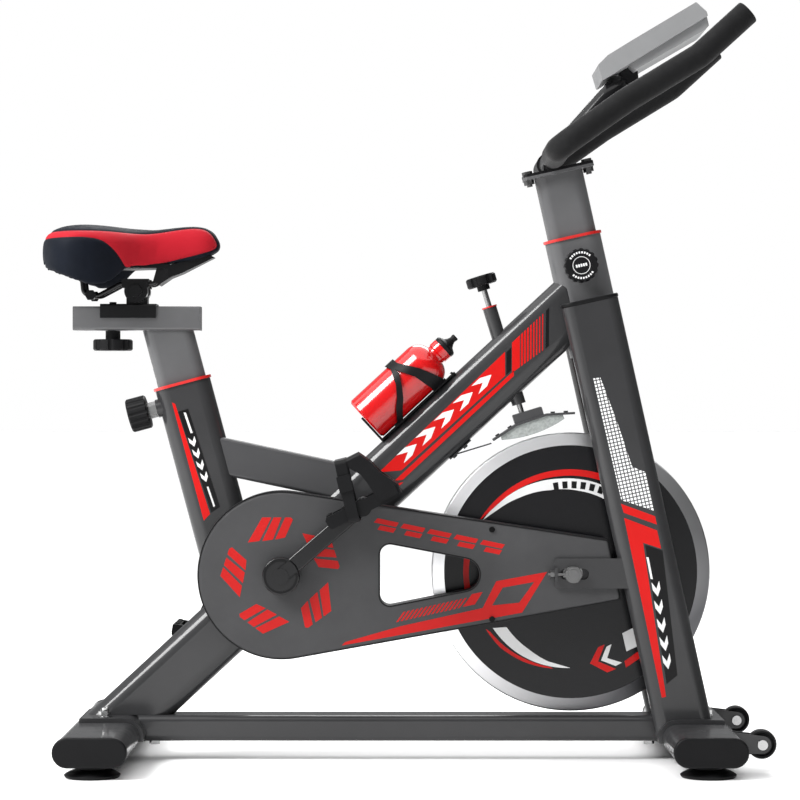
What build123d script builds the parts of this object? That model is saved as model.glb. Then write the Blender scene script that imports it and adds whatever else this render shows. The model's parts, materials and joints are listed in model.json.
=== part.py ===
from build123d import *
import math
import os

# An indoor spin bike, in millimetres and degrees. +X is the front, +Z is up and
# the drive side is -Y. The origin is on the floor, under the middle of the bike.

# Floor bars and feet
STAB_WIDE = 100
STAB_TALL = 40
STAB_LONG = 464
STAB_Z = 37
REAR_X = -418
FRONT_X = 412
CAP_THICK = 8
FOOT_Y = 200
FOOT_R = 38
FOOT_STEM_R = 5
WHEEL_X = 490.5
WHEEL_Y = 145
WHEEL_Z = 38
WHEEL_R = 20
WHEEL_BOLT_R = 4
REAR_BOLT = (REAR_X, 44)
FRONT_BOLT = (FRONT_X + 16, 26)

# Frame tubes: width in the bike's plane, thickness across it
WALL = 2
MAIN_WIDE = 83
MAIN_THICK = 42
MAIN_LEAN = -47.2
MAIN_LOW = -372
MAIN_HIGH = 575
SEAT_WIDE = 80
SEAT_THICK = 40
SEAT_X = -312
SEAT_Z = 530
SEAT_LEAN = 15
HEAD_WIDE = 80
HEAD_THICK = 44
HEAD_X = 241.6
HEAD_Z = 736.6
HEAD_LEAN = 12.5
HEAD_LONG = 165
LEG_THICK = 32
LEG_Y = 58
LEG_TOP = 95
BRACE_X = -173
BRACE_Z = 411
BRACE_LEAN = -102
BRACE_WIDE = 52
BRACE_THICK = 32
SADDLE_PLATE = 6
BASE_WIDE = 60
BASE_LOW = 27
DECK_Z = STAB_Z + STAB_TALL / 2 + SADDLE_PLATE

# Posts that slide in the seat tube and the head tube
POST_WIDE = 70
SEAT_POST_THICK = 30
HEAD_POST_THICK = 34
POST_GAP = 0.4
LINER_LONG = 60
COLLAR_TALL = 4
HOLE_PITCH = 20
SEAT_PIN_DROP = 24
HEAD_PIN_DROP = 41
PIN_R = 4
PIN_THREAD_R = 7
PIN_KNOB_R = 24

# Drive
BB_X = -169
BB_Z = 263
WHEEL_HUB_X = 238
WHEEL_HUB_Z = 265
FLYWHEEL_R = 197
RIM_BAND = 18
FLYWHEEL_HALF = 12
AXLE_R = 7.5
SPINDLE_R = 10
SHELL_R = 26
SHELL_HALF = 34
CRANK_LONG = 152
CRANK_WIDE = 22.5
CRANK_RISE = 40.8
CRANK_IN = 72
CRANK_OUT = 86
PEDAL_IN = 94
PEDAL_OUT = 190
PEDAL_HALF = 46
PEDAL_TILT_RIGHT = 26.5
PEDAL_TILT_LEFT = -10
PEDAL_AXLE_R = 6
CRANK_PULLEY_R = 100
FLYWHEEL_PULLEY_R = 30
BELT_Y = -45
BELT_WIDE = 16
BELT_THICK = 3
BELT_GAP = 0.3
COVER_R = 118
COVER_IN = -26
COVER_SPLIT = -46
COVER_OUT = -64
COVER_WALL = 2.5
BRACKET_IN = 65
BRACKET_OUT = 70
TENSIONER_Y = 72.2

# Belt cover outline, its window and its screws, as (x, z) corners and centres
COVER_TOP = (287.7, 313.2)
COVER_LOW = (305.8, 228.1)
WINDOW_CENTRE = (85, 264)
WINDOW_R = 22.5
WINDOW_LEFT = -31.4
WINDOW_TOP = 309
WINDOW_LOW = 218
COVER_SCREWS_OUT = [(125, 327), (125, 202)]
COVER_SCREWS_IN = [(20, 342), (20, 187), (-262, 263), (-120, 358), (-120, 168), (262, 240)]

# Brake, measured from the wheel hub up its own leaning axis
BRAKE_LEAN = 17
BRAKE_ROD_R = 4
BRAKE_NUT_R = 7
BRAKE_SLEEVE_R = 10
BRAKE_SLEEVE_LOW = 248
BRAKE_SLEEVE_HIGH = 391
PAD_CLEAR = 4.6

# Saddle
SADDLE_REAR = -510.5
SLIDER_REAR = -466
SLIDER_FRONT = -286
SLIDER_LOW = 606.5
SLIDER_HIGH = 640.5
SLIDER_WIDE = 40
CARRIAGE_REAR = -427
CARRIAGE_FRONT = -348
CARRIAGE_WALL = 3
KNOB_X = -411
TILT_X = -376
TILT_Z = 662
TILT_PIN_R = 8
RAIL_R = 3.5
RAIL_Y = 20
RAIL_POINTS = [(-334, 686), (-352, 672), (-398, 672), (-430, 655), (-450, 658), (-454, 694)]

# Handlebar and console
BAR_R = 14
FOAM_R = 17
FOAM_START = 70
BAR_Y = 200
LOOP_Y = 45
PLATE_TOP = 98
PLATE_LONG = 101
PLATE_WIDE = 54
PLATE_BOLTS = (-43, 43)
BAR_START = (211, 848)
BAR_POINTS = [(300, 911), (401, 972.5), (462, 1028)]
LOOP_TOP = (303.5, 952)
CONSOLE_X = 279.6
CONSOLE_Z = 954.4
CONSOLE_TILT = 31.6
CONSOLE_HALF = 62

# Bottle, along the main tube
BOTTLE_R = 34
BOTTLE_START = 233.5
BOTTLE_OFF = MAIN_WIDE / 2 + 38
NECK_R = 12.5
CAGE_WIDE = 24

FIT = 0.05
STAND = (Align.CENTER, Align.CENTER, Align.MIN)
HANG = (Align.CENTER, Align.CENTER, Align.MAX)
OUTWARD = (Align.MIN, Align.CENTER, Align.MIN)


def leaning(x, z, lean):
    """Frame at (x, 0, z): z runs up an axis that leans back by lean, x forward, y across."""
    a = math.radians(lean)
    return Plane(
        origin=(x, 0, z),
        x_dir=(math.cos(a), 0, math.sin(a)),
        z_dir=(-math.sin(a), 0, math.cos(a)),
    ).location


MAIN = leaning(BB_X, BB_Z, MAIN_LEAN)
SEAT = leaning(SEAT_X, SEAT_Z, SEAT_LEAN)
HEAD = leaning(HEAD_X, HEAD_Z, HEAD_LEAN)
BRACE = leaning(BRACE_X, BRACE_Z, BRACE_LEAN)
BRAKE = leaning(WHEEL_HUB_X, WHEEL_HUB_Z, BRAKE_LEAN)
CONSOLE = leaning(CONSOLE_X, CONSOLE_Z, CONSOLE_TILT)


def outline(*points):
    """Straight-edged face through the points, which may run either way round."""
    pairs = zip(points, points[1:] + points[:1])
    area = sum(a[0] * b[1] - b[0] * a[1] for a, b in pairs)
    return Polygon(*(points if area > 0 else points[::-1]), align=None)


def slab(face, y_low, y_high):
    """Solid whose face is drawn in X and Z, filled from y_low to y_high."""
    plane = Plane(origin=(0, y_high, 0), x_dir=(1, 0, 0), z_dir=(0, -1, 0))
    return plane.location * extrude(face, y_high - y_low)


def rod_y(x, z, radius, y_low, y_high):
    """Round bar across the bike."""
    return slab(Pos(x, z) * Circle(radius), y_low, y_high)


def bar(frame, section, low, high):
    """Solid with one section between two heights on a leaning frame."""
    return frame * Pos(0, 0, low) * extrude(section, high - low)


def flat_oval(wide, thick, wall=0):
    """Section of a flat-oval tube, or of a full bar when it has no wall."""
    full = SlotOverall(wide, thick)
    if wall:
        return full - SlotOverall(wide - 2 * wall, thick - 2 * wall)
    return full


def ring(outer, inner):
    return Circle(outer) - Circle(inner)


def tangent_point(centre, radius, point, side):
    """Where a line from point touches a circle, on one side of it or the other."""
    dx = point[0] - centre[0]
    dz = point[1] - centre[1]
    angle = math.atan2(dz, dx) + side * math.acos(radius / math.hypot(dx, dz))
    return (centre[0] + radius * math.cos(angle), centre[1] + radius * math.sin(angle))


def teardrop(centre, radius, upper, lower):
    """Circle drawn out by two tangents to the edge from upper to lower."""
    side = 1 if upper[0] > centre[0] else -1
    top = tangent_point(centre, radius, upper, side)
    bottom = tangent_point(centre, radius, lower, -side)
    return Pos(*centre) * Circle(radius) + outline(upper, lower, bottom, top)


def together(*pieces):
    """Separate solids kept apart in one sub-part."""
    return Compound([solid for piece in pieces for solid in piece.solids()])


def both_sides(piece):
    """A piece and its mirror image across the bike's middle plane."""
    return together(piece, mirror(piece, Plane.XZ))


def hex_nut(across, height, bore=0):
    """Hexagon standing on XY, with a bore when one is given."""
    nut = extrude(RegularPolygon(across / math.sqrt(3), 6), height)
    return nut - Cylinder(bore, 3 * height) if bore else nut


def dome_nut(radius, height):
    """Capped nut standing on XY."""
    cap = Pos(0, 0, height * 0.55) * Sphere(radius * 0.85)
    return hex_nut(2 * radius, height * 0.55) + cap & Cylinder(radius * 2, height, align=STAND)


def grip_knob(radius, height, lobes, dent):
    """Round hand knob standing on XY, with a scalloped edge."""
    knob = Cylinder(radius, height, align=STAND)
    knob = chamfer(knob.edges().filter_by(GeomType.CIRCLE), 2)
    for i in range(lobes):
        knob -= Rot(0, 0, 360 * i / lobes) * Pos(radius + dent * 0.45, 0, 0) * Cylinder(
            dent, 3 * height
        )
    return knob


def tube_path(points, radii, radius):
    """Round bar along straight runs joined by tangent arcs."""
    path = FilletPolyline(*points, radius=radii)
    start = Plane(origin=path @ 0, z_dir=path % 0)
    return sweep(start * Circle(radius), path)


# Floor bars -------------------------------------------------------------------


def stabilizer_hole_set(x, bolt_x, bolt_y):
    """Two upright holes for the bolts that hold a mount plate."""
    return [Pos(bolt_x, y, STAB_Z) * Cylinder(5, 90) for y in (-bolt_y, bolt_y)]


def stabilizer(x, bolt):
    """Flat-oval floor bar with its foot sockets and bolt holes."""
    body = slab(
        Pos(x, STAB_Z) * flat_oval(STAB_WIDE, STAB_TALL, WALL), -STAB_LONG / 2, STAB_LONG / 2
    )
    floor = STAB_Z - STAB_TALL / 2
    for y in (-FOOT_Y, FOOT_Y):
        body += Pos(x, y, floor) * Cylinder(12, 14, align=STAND)
        body -= Pos(x, y, floor) * Cylinder(FOOT_STEM_R + FIT, 60)
    for hole in stabilizer_hole_set(x, *bolt):
        body -= hole
    return body


def front_stabilizer():
    """Front floor bar with a pair of cheeks for each transport wheel."""
    body = stabilizer(FRONT_X, FRONT_BOLT)
    cheek = teardrop((WHEEL_X, WHEEL_Z), 12, (440, 56), (440, 24))
    filled = Pos(FRONT_X, STAB_Z) * flat_oval(STAB_WIDE, STAB_TALL)
    for y in (-WHEEL_Y, WHEEL_Y):
        for side in (-1, 1):
            inner = y + side * 9.6
            outer = y + side * 12.6
            body += slab(cheek - filled, min(inner, outer), max(inner, outer))
        body -= rod_y(WHEEL_X, WHEEL_Z, WHEEL_BOLT_R, y - 13, y + 13)
    return body


def tube_end_caps():
    """Plugs in the floor bars' ends and on top of the fork legs."""
    pieces = []
    for x in (REAR_X, FRONT_X):
        face = Pos(x, STAB_Z) * flat_oval(STAB_WIDE + 1, STAB_TALL + 1)
        end = STAB_LONG / 2
        cap = slab(face, end, end + CAP_THICK)
        cap = fillet(cap.faces().sort_by(Axis.Y)[-1].edges(), 3)
        plug = Pos(x, STAB_Z) * flat_oval(STAB_WIDE - 2 * WALL, STAB_TALL - 2 * WALL)
        cap += slab(plug, end - 12, end)
        pieces.append(both_sides(cap))
    leg_cap = bar(HEAD, flat_oval(HEAD_WIDE + 2, LEG_THICK + 2), -LEG_TOP, -LEG_TOP + 6)
    leg_cap = fillet(leg_cap.edges().group_by(SortBy.LENGTH)[-1], 2)
    skirt = bar(HEAD, flat_oval(HEAD_WIDE - 2 * WALL, LEG_THICK - 2 * WALL), -LEG_TOP - 14, -LEG_TOP)
    pieces.append(both_sides(Pos(0, LEG_Y, 0) * (leg_cap + skirt)))
    return together(*pieces)


def mount_saddle(x, half, low_x, high_x):
    """Curved plate that wraps the top of a floor bar."""
    outer = flat_oval(STAB_WIDE + 2 * SADDLE_PLATE, STAB_TALL + 2 * SADDLE_PLATE)
    wrap = slab(Pos(x, STAB_Z) * (outer - flat_oval(STAB_WIDE, STAB_TALL)), -half, half)
    kept = Pos((low_x + high_x) / 2, 0, 30) * Box(high_x - low_x, 4 * half, 60, align=STAND)
    return wrap & kept


def saddle_outer(x, half):
    """Space that a mount plate and its floor bar fill."""
    outer = flat_oval(STAB_WIDE + 2 * SADDLE_PLATE, STAB_TALL + 2 * SADDLE_PLATE)
    return slab(Pos(x, STAB_Z) * outer, -half, half)


def base_tube():
    """Flat floor tube between the two mount plates, which are welded to it."""
    mid_z = (BASE_LOW + DECK_Z) / 2
    section = RectangleRounded(BASE_WIDE, DECK_Z - BASE_LOW, 8)
    section -= RectangleRounded(BASE_WIDE - 2 * WALL, DECK_Z - BASE_LOW - 2 * WALL, 6)
    rear_end = REAR_X + 46
    front_end = FRONT_X - 46
    plane = Plane(origin=(rear_end, 0, mid_z), x_dir=(0, 1, 0), z_dir=(1, 0, 0))
    tube = plane.location * extrude(section, front_end - rear_end)
    tube -= saddle_outer(REAR_X, 70)
    tube -= saddle_outer(FRONT_X, 90)
    rear = mount_saddle(REAR_X, 62, REAR_X - 34, REAR_X + 70)
    front = mount_saddle(FRONT_X, 82, FRONT_X - 70, FRONT_X + 36)
    for hole in stabilizer_hole_set(REAR_X, *REAR_BOLT):
        rear -= hole
    for hole in stabilizer_hole_set(FRONT_X, *FRONT_BOLT):
        front -= hole
    return together(tube, rear, front)


def levelling_foot(x, y):
    """Turned foot: domed pad, collar and threaded stem."""
    profile = [
        Line((0, 0), (31, 0)),
        ThreePointArc((31, 0), (37, 1.4), (FOOT_R, 4)),
        ThreePointArc((FOOT_R, 4), (29.5, 9), (18.5, 11.5)),
        Polyline(
            (18.5, 11.5), (18.5, 16.7), (FOOT_STEM_R, 16.7), (FOOT_STEM_R, 36), (0, 36), (0, 0)
        ),
    ]
    return Pos(x, y, 0) * revolve(Plane.XZ * make_face(profile), Axis.Z)


def transport_wheel(y):
    """Moulded wheel with a tread groove and recessed sides."""
    profile = outline(
        (WHEEL_BOLT_R + FIT, -9),
        (9, -9),
        (10, -6),
        (15, -6),
        (16, -8.6),
        (18.5, -8.6),
        (WHEEL_R, -6),
        (WHEEL_R, 6),
        (18.5, 8.6),
        (16, 8.6),
        (15, 6),
        (10, 6),
        (9, 9),
        (WHEEL_BOLT_R + FIT, 9),
    )
    turned = revolve(profile, Axis.Y)
    return Pos(WHEEL_X, y, WHEEL_Z) * turned


# Frame tubes ------------------------------------------------------------------

MAIN_SOLID = bar(MAIN, flat_oval(MAIN_WIDE, MAIN_THICK), MAIN_LOW, MAIN_HIGH)
SEAT_SOLID = bar(SEAT, flat_oval(SEAT_WIDE, SEAT_THICK), -332, 0)
HEAD_SOLID = bar(HEAD, flat_oval(HEAD_WIDE, HEAD_THICK), -HEAD_LONG, 0)


def main_tube():
    """Diagonal tube from the rear bar to the head tube, with the brake sleeve."""
    tube = bar(MAIN, flat_oval(MAIN_WIDE, MAIN_THICK, WALL), MAIN_LOW, MAIN_HIGH)
    tube -= HEAD_SOLID
    tube -= Pos(REAR_X, 0, DECK_Z) * Box(600, 200, 400, align=HANG)
    tube -= rod_y(BB_X, BB_Z, SHELL_R, -60, 60)
    tube -= bar(BRAKE, Circle(BRAKE_SLEEVE_R), BRAKE_SLEEVE_LOW, BRAKE_SLEEVE_HIGH)
    sleeve = bar(
        BRAKE, ring(BRAKE_SLEEVE_R, BRAKE_NUT_R + FIT), BRAKE_SLEEVE_LOW, BRAKE_SLEEVE_HIGH
    )
    return tube + sleeve


def pin_boss(frame, inner, outer):
    """Weld nut for a locking pin, its bore along the frame's z."""
    boss = bar(frame, Circle(13), inner, outer)
    bore = bar(frame, Circle(PIN_THREAD_R + FIT), inner - 12, outer + 5)
    return boss, bore


SEAT_PIN = SEAT * Pos(0, 0, -SEAT_PIN_DROP) * Rot(0, -90, 0)
HEAD_PIN = HEAD * Pos(0, 0, -HEAD_PIN_DROP) * Rot(90, 0, 0)


def seat_tube():
    tube = bar(SEAT, flat_oval(SEAT_WIDE, SEAT_THICK, WALL), -332, 0)
    tube -= MAIN_SOLID
    boss, bore = pin_boss(SEAT_PIN, SEAT_WIDE / 2 - 6, SEAT_WIDE / 2 + 4)
    inside = bar(SEAT, flat_oval(SEAT_WIDE - 2 * WALL, SEAT_THICK - 2 * WALL), -332, 0)
    return tube + (boss - inside) - bore


def cross_brace():
    section = RectangleRounded(BRACE_WIDE, BRACE_THICK, 5)
    section -= RectangleRounded(BRACE_WIDE - 2 * WALL, BRACE_THICK - 2 * WALL, 3)
    return bar(BRACE, section, -115, 130) - SEAT_SOLID - MAIN_SOLID


def head_tube():
    tube = bar(HEAD, flat_oval(HEAD_WIDE, HEAD_THICK, WALL), -HEAD_LONG, 0)
    boss, bore = pin_boss(HEAD_PIN, HEAD_THICK / 2 - 1, HEAD_THICK / 2 + 6)
    return tube + boss - bore


def fork_legs():
    """Two legs beside the flywheel, their crown plates and the axle brackets."""
    section = flat_oval(HEAD_WIDE, LEG_THICK, WALL)
    filled = flat_oval(HEAD_WIDE, LEG_THICK)
    leg = Pos(0, -LEG_Y, 0) * bar(HEAD, section, -735, -LEG_TOP)
    leg_solid = Pos(0, -LEG_Y, 0) * bar(HEAD, filled, -735, -LEG_TOP)
    below = Pos(FRONT_X, 0, STAB_Z) * Box(400, 400, 200, align=HANG)
    leg -= saddle_outer(FRONT_X, 100)
    leg -= below
    plate = Pos(271, 266) * RectangleRounded(118, 42, 4)
    plate -= Pos(WHEEL_HUB_X + 2, WHEEL_HUB_Z) * SlotOverall(40, 2 * AXLE_R + 0.2)
    bracket = slab(plate, -BRACKET_OUT, -BRACKET_IN) - leg_solid
    tab = Pos(214, -BRACKET_OUT - 5, WHEEL_HUB_Z) * Box(4, 10, 20)
    tab -= Pos(214, -TENSIONER_Y, WHEEL_HUB_Z) * Rot(0, 90, 0) * Cylinder(2.3, 30)
    side = leg + bracket + tab
    for drop in (108, 150):
        crown = bar(HEAD, Rectangle(64, 2 * LEG_Y - 20), -drop - 5, -drop)
        crown = crown - HEAD_SOLID - MAIN_SOLID - leg_solid - mirror(leg_solid, Plane.XZ)
        side += crown & Pos(0, -100, 400) * Box(2000, 200, 2000)
    return together(side, mirror(side, Plane.XZ))


def tube_collars():
    """Red collars with their plastic liners, and the ring on the brake sleeve."""
    pieces = []
    for frame, wide, thick, post, drop, pin in (
        (SEAT, SEAT_WIDE, SEAT_THICK, SEAT_POST_THICK, SEAT_PIN_DROP, SEAT_PIN),
        (HEAD, HEAD_WIDE, HEAD_THICK, HEAD_POST_THICK, HEAD_PIN_DROP, HEAD_PIN),
    ):
        hole = flat_oval(POST_WIDE + 2 * POST_GAP, post + 2 * POST_GAP)
        flange = bar(frame, flat_oval(wide + 4, thick + 4) - hole, 0, COLLAR_TALL)
        liner_out = flat_oval(wide - 2 * WALL, thick - 2 * WALL)
        liner = bar(frame, liner_out - hole, -LINER_LONG, 0)
        liner -= bar(pin, Circle(PIN_THREAD_R + 1), 5, 60)
        pieces.append(flange + liner)
    pieces.append(
        bar(
            BRAKE,
            ring(BRAKE_SLEEVE_R + 1, BRAKE_NUT_R + 0.4),
            BRAKE_SLEEVE_HIGH,
            BRAKE_SLEEVE_HIGH + 2,
        )
    )
    return together(*pieces)


def bottle_cage():
    """Base strap on the tube, a foot under the bottle and two arms round each side of it."""
    on_tube = MAIN * Rot(0, 0, 180) * Pos(MAIN_WIDE / 2, 0, BOTTLE_START)
    base = on_tube * Pos(0, 0, -4) * Box(3.2, CAGE_WIDE, 142, align=OUTWARD)
    foot = on_tube * Pos(0, 0, -4) * Box(44, CAGE_WIDE, 3, align=OUTWARD)
    lip = on_tube * Pos(0, 0, 134) * Rot(0, 20, 0) * Box(16, CAGE_WIDE, 3, align=OUTWARD)
    centre = bottle_frame() * Rot(0, 0, 180)
    clear = BOTTLE_R + 0.5
    wrap = bar(centre, ring(clear + 3, clear), 0, 140)
    side = centre * Plane(origin=(0, 60, 0), x_dir=(1, 0, 0), z_dir=(0, -1, 0)).location
    broad_low = [(-39, 100), (-20, 96), (-2, 92), (20, 80)]
    broad = outline((39, 76), (39, 86), (29, 87), (2, 105), (-27, 118), (-39, 121), *broad_low)
    narrow_high = [(39, 70), (39, 79), (17, 79), (2, 71), (-13, 60), (-25, 48), (-39, 36)]
    narrow_low = [(-39, 26), (-25, 36), (-16, 43), (-7, 53), (8, 65), (29, 74)]
    narrow = outline(*narrow_high, *narrow_low)
    arms = wrap & side * extrude(broad + narrow, 120)
    stems = [
        on_tube * Pos(0, 0, z) * Box(8, CAGE_WIDE, tall, align=OUTWARD)
        for z, tall in ((24, 14), (98, 24))
    ]
    inside = bar(centre, Circle(clear), -0.9, 300)
    return (base + foot + lip + arms + stems[0] + stems[1]) - inside - MAIN_SOLID


def frame_fasteners():
    """Bolts, nuts and screws that hold the frame, the wheels and the covers."""
    pieces = []
    for bolt_x, bolt_y in (REAR_BOLT, FRONT_BOLT):
        for y in (-bolt_y, bolt_y):
            floor = STAB_Z - STAB_TALL / 2
            shank = Pos(bolt_x, y, floor) * Cylinder(4.9, DECK_Z - floor, align=STAND)
            head = Pos(bolt_x, y, floor) * Cylinder(9, 3, align=HANG)
            washer = Pos(bolt_x, y, DECK_Z) * Cylinder(10, 1.6, align=STAND)
            nut = Pos(bolt_x, y, DECK_Z + 1.6) * dome_nut(7.5, 12)
            pieces.append(shank + head + washer + nut)
    for y in (-WHEEL_Y, WHEEL_Y):
        shank = rod_y(WHEEL_X, WHEEL_Z, WHEEL_BOLT_R, y - 13, y + 13)
        heads = rod_y(WHEEL_X, WHEEL_Z, 7, y - 16.5, y - 12.6)
        heads += rod_y(WHEEL_X, WHEEL_Z, 7, y + 12.6, y + 16.5)
        pieces.append(shank + heads)
    for x in (REAR_X + 66, FRONT_X - 62):
        pieces.append(Pos(x, 0, BASE_LOW) * Rot(180, 0, 0) * hex_nut(13, 7))
    for x, z in COVER_SCREWS_OUT:
        pieces.append(slab(Pos(x, z) * Circle(4), COVER_OUT - 2.2, COVER_OUT))
    for x, z in COVER_SCREWS_IN:
        pieces.append(slab(Pos(x, z) * Circle(4), COVER_IN, COVER_IN + 2.2))
    return together(*pieces)


# Drive ------------------------------------------------------------------------


def cover_outline(inset):
    """Belt cover seen from the side: round at the crank, narrow at the wheel."""
    upper = (COVER_TOP[0] - inset, COVER_TOP[1] - inset)
    lower = (COVER_LOW[0] - inset, COVER_LOW[1] + inset)
    face = teardrop((BB_X, BB_Z), COVER_R - inset, upper, lower)
    return fillet(face.vertices().sort_by(Axis.X)[-2:], 6)


def window_outline(grow):
    upper = (WINDOW_LEFT - grow, WINDOW_TOP + grow)
    lower = (WINDOW_LEFT - grow, WINDOW_LOW - grow)
    face = teardrop(WINDOW_CENTRE, WINDOW_R + grow, upper, lower)
    return fillet(face.vertices().sort_by(Axis.X)[:2], 14 + grow)


def belt_cover_outer():
    half = slab(cover_outline(0), COVER_OUT, COVER_SPLIT)
    half = fillet(half.faces().sort_by(Axis.Y)[0].edges(), 5)
    half -= slab(cover_outline(COVER_WALL), COVER_OUT + COVER_WALL, COVER_SPLIT)
    half += slab(window_outline(COVER_WALL), COVER_OUT, COVER_SPLIT)
    half -= slab(window_outline(0), COVER_OUT - 1, COVER_SPLIT + 1)
    half -= rod_y(BB_X, BB_Z, SPINDLE_R + 6, COVER_OUT - 1, COVER_SPLIT)
    return half - rod_y(WHEEL_HUB_X, WHEEL_HUB_Z, 14, COVER_OUT - 1, COVER_SPLIT)


def belt_cover_inner():
    half = slab(cover_outline(0), COVER_SPLIT, COVER_IN)
    half -= slab(cover_outline(COVER_WALL), COVER_SPLIT, COVER_IN - COVER_WALL)
    half += slab(window_outline(COVER_WALL), COVER_SPLIT, COVER_IN)
    half -= slab(window_outline(0), COVER_SPLIT - 1, COVER_IN + 1)
    half -= rod_y(BB_X, BB_Z, SHELL_R + 0.5, COVER_SPLIT, COVER_IN + 1)
    return half - rod_y(WHEEL_HUB_X, WHEEL_HUB_Z, 24, COVER_SPLIT, COVER_IN + 1)


def belt_loop(grow):
    """Outline round both pulleys, grow outside their rims."""
    first = CRANK_PULLEY_R + grow
    second = FLYWHEEL_PULLEY_R + grow
    dx = WHEEL_HUB_X - BB_X
    dz = WHEEL_HUB_Z - BB_Z
    line = math.atan2(dz, dx)
    spread = math.acos((first - second) / math.hypot(dx, dz))
    corners = []
    for centre, radius, order in (
        ((BB_X, BB_Z), first, (1, -1)),
        ((WHEEL_HUB_X, WHEEL_HUB_Z), second, (-1, 1)),
    ):
        for side in order:
            angle = line + side * spread
            corners.append(
                (centre[0] + radius * math.cos(angle), centre[1] + radius * math.sin(angle))
            )
    face = outline(*corners)
    face += Pos(BB_X, BB_Z) * Circle(first)
    return face + Pos(WHEEL_HUB_X, WHEEL_HUB_Z) * Circle(second)


def drive_belt():
    low = BELT_Y - BELT_WIDE / 2
    high = BELT_Y + BELT_WIDE / 2
    return slab(belt_loop(BELT_THICK), low, high) - slab(belt_loop(0), low, high)


def pulley(x, z, radius, flange, bore, hub, hub_low, hub_high, holes):
    """Belt pulley with two flanges, a thin web and a hub."""
    low = BELT_Y - BELT_WIDE / 2
    high = BELT_Y + BELT_WIDE / 2
    rim = ring(radius - BELT_GAP, max(radius - 8, hub))
    wheel = slab(Pos(x, z) * rim, low - 0.3, high + 0.3)
    for edge in (low - 1.9, high + 0.3):
        wheel += slab(Pos(x, z) * ring(flange, max(radius - 8, hub)), edge, edge + 1.6)
    web = Circle(radius - 8)
    for i in range(holes):
        web -= Rot(0, 0, 360 * i / holes) * Pos(radius * 0.55, 0) * Circle(radius * 0.19)
    wheel += slab(Pos(x, z) * web, BELT_Y - 3, BELT_Y + 3)
    wheel += rod_y(x, z, hub, hub_low, hub_high)
    return wheel - rod_y(x, z, bore, hub_low - 1, hub_high + 1)


def crank_pulley():
    return pulley(
        BB_X, BB_Z, CRANK_PULLEY_R, CRANK_PULLEY_R + 4, SPINDLE_R, 20, BELT_Y - 14, BELT_Y + 10, 6
    )


def flywheel_pulley():
    return pulley(
        WHEEL_HUB_X, WHEEL_HUB_Z, FLYWHEEL_PULLEY_R, FLYWHEEL_PULLEY_R + 4, AXLE_R + FIT, 20,
        BELT_Y - 10, -20, 0
    )


def flywheel():
    """Solid wheel with a proud polished rim and a hub boss."""
    rim = rod_y(0, 0, FLYWHEEL_R, -FLYWHEEL_HALF, FLYWHEEL_HALF)
    rim = chamfer(rim.edges().filter_by(GeomType.CIRCLE), 1.5)
    for y in (-FLYWHEEL_HALF, FLYWHEEL_HALF - 1.5):
        rim -= rod_y(0, 0, FLYWHEEL_R - RIM_BAND, y, y + 1.5)
    wheel = rim + rod_y(0, 0, 30, -20, 20)
    wheel -= rod_y(0, 0, AXLE_R + FIT, -30, 30)
    return Pos(WHEEL_HUB_X, 0, WHEEL_HUB_Z) * wheel


def flywheel_axle():
    """Fixed axle with its spacers, washers and nuts."""
    x, z = WHEEL_HUB_X, WHEEL_HUB_Z
    axle = rod_y(x, z, AXLE_R, -86, 86)
    axle += slab(Pos(x, z) * Circle(11), -BRACKET_IN, BELT_Y - 10.6)
    axle += slab(Pos(x, z) * Circle(11), 20.6, BRACKET_IN)
    nuts = []
    for side in (-1, 1):
        flat = Pos(x, z) * (Circle(12) - Circle(AXLE_R))
        low, high = sorted((side * 74.4, side * 76))
        nuts.append(slab(flat, low, high))
        hexagon = Pos(x, z) * (RegularPolygon(12, 6) - Circle(AXLE_R))
        low, high = sorted((side * 76, side * 84))
        nuts.append(slab(hexagon, low, high))
    return together(axle, *nuts)


def belt_tensioners():
    """Eye bolt on each side that draws the axle back along its slot."""
    eye = rod_y(WHEEL_HUB_X, WHEEL_HUB_Z, 11.5, -TENSIONER_Y - 2, -TENSIONER_Y + 2)
    stem = Pos(203, -TENSIONER_Y, WHEEL_HUB_Z) * Rot(0, 90, 0) * Cylinder(2, 30, align=STAND)
    bolt = eye + stem - rod_y(WHEEL_HUB_X, WHEEL_HUB_Z, AXLE_R, -90, 90)
    bolt += Pos(206, -TENSIONER_Y, WHEEL_HUB_Z) * Rot(0, 90, 0) * hex_nut(10, 6)
    return both_sides(bolt)


def bottom_bracket_shell():
    return rod_y(BB_X, BB_Z, SHELL_R, -SHELL_HALF, SHELL_HALF) - rod_y(
        BB_X, BB_Z, SHELL_R - 5, -SHELL_HALF, SHELL_HALF
    )


def bottom_bracket_bearings():
    """One ball bearing in each end of the shell, drawn as its two rings and a filled gap."""
    outer = SHELL_R - 5
    race = ring(outer, SPINDLE_R + FIT)
    bearing = slab(Pos(BB_X, BB_Z) * race, 18, 31)
    return both_sides(bearing)


def crank_spindle():
    return rod_y(BB_X, BB_Z, SPINDLE_R, -CRANK_OUT - 2, CRANK_OUT + 2)


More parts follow.
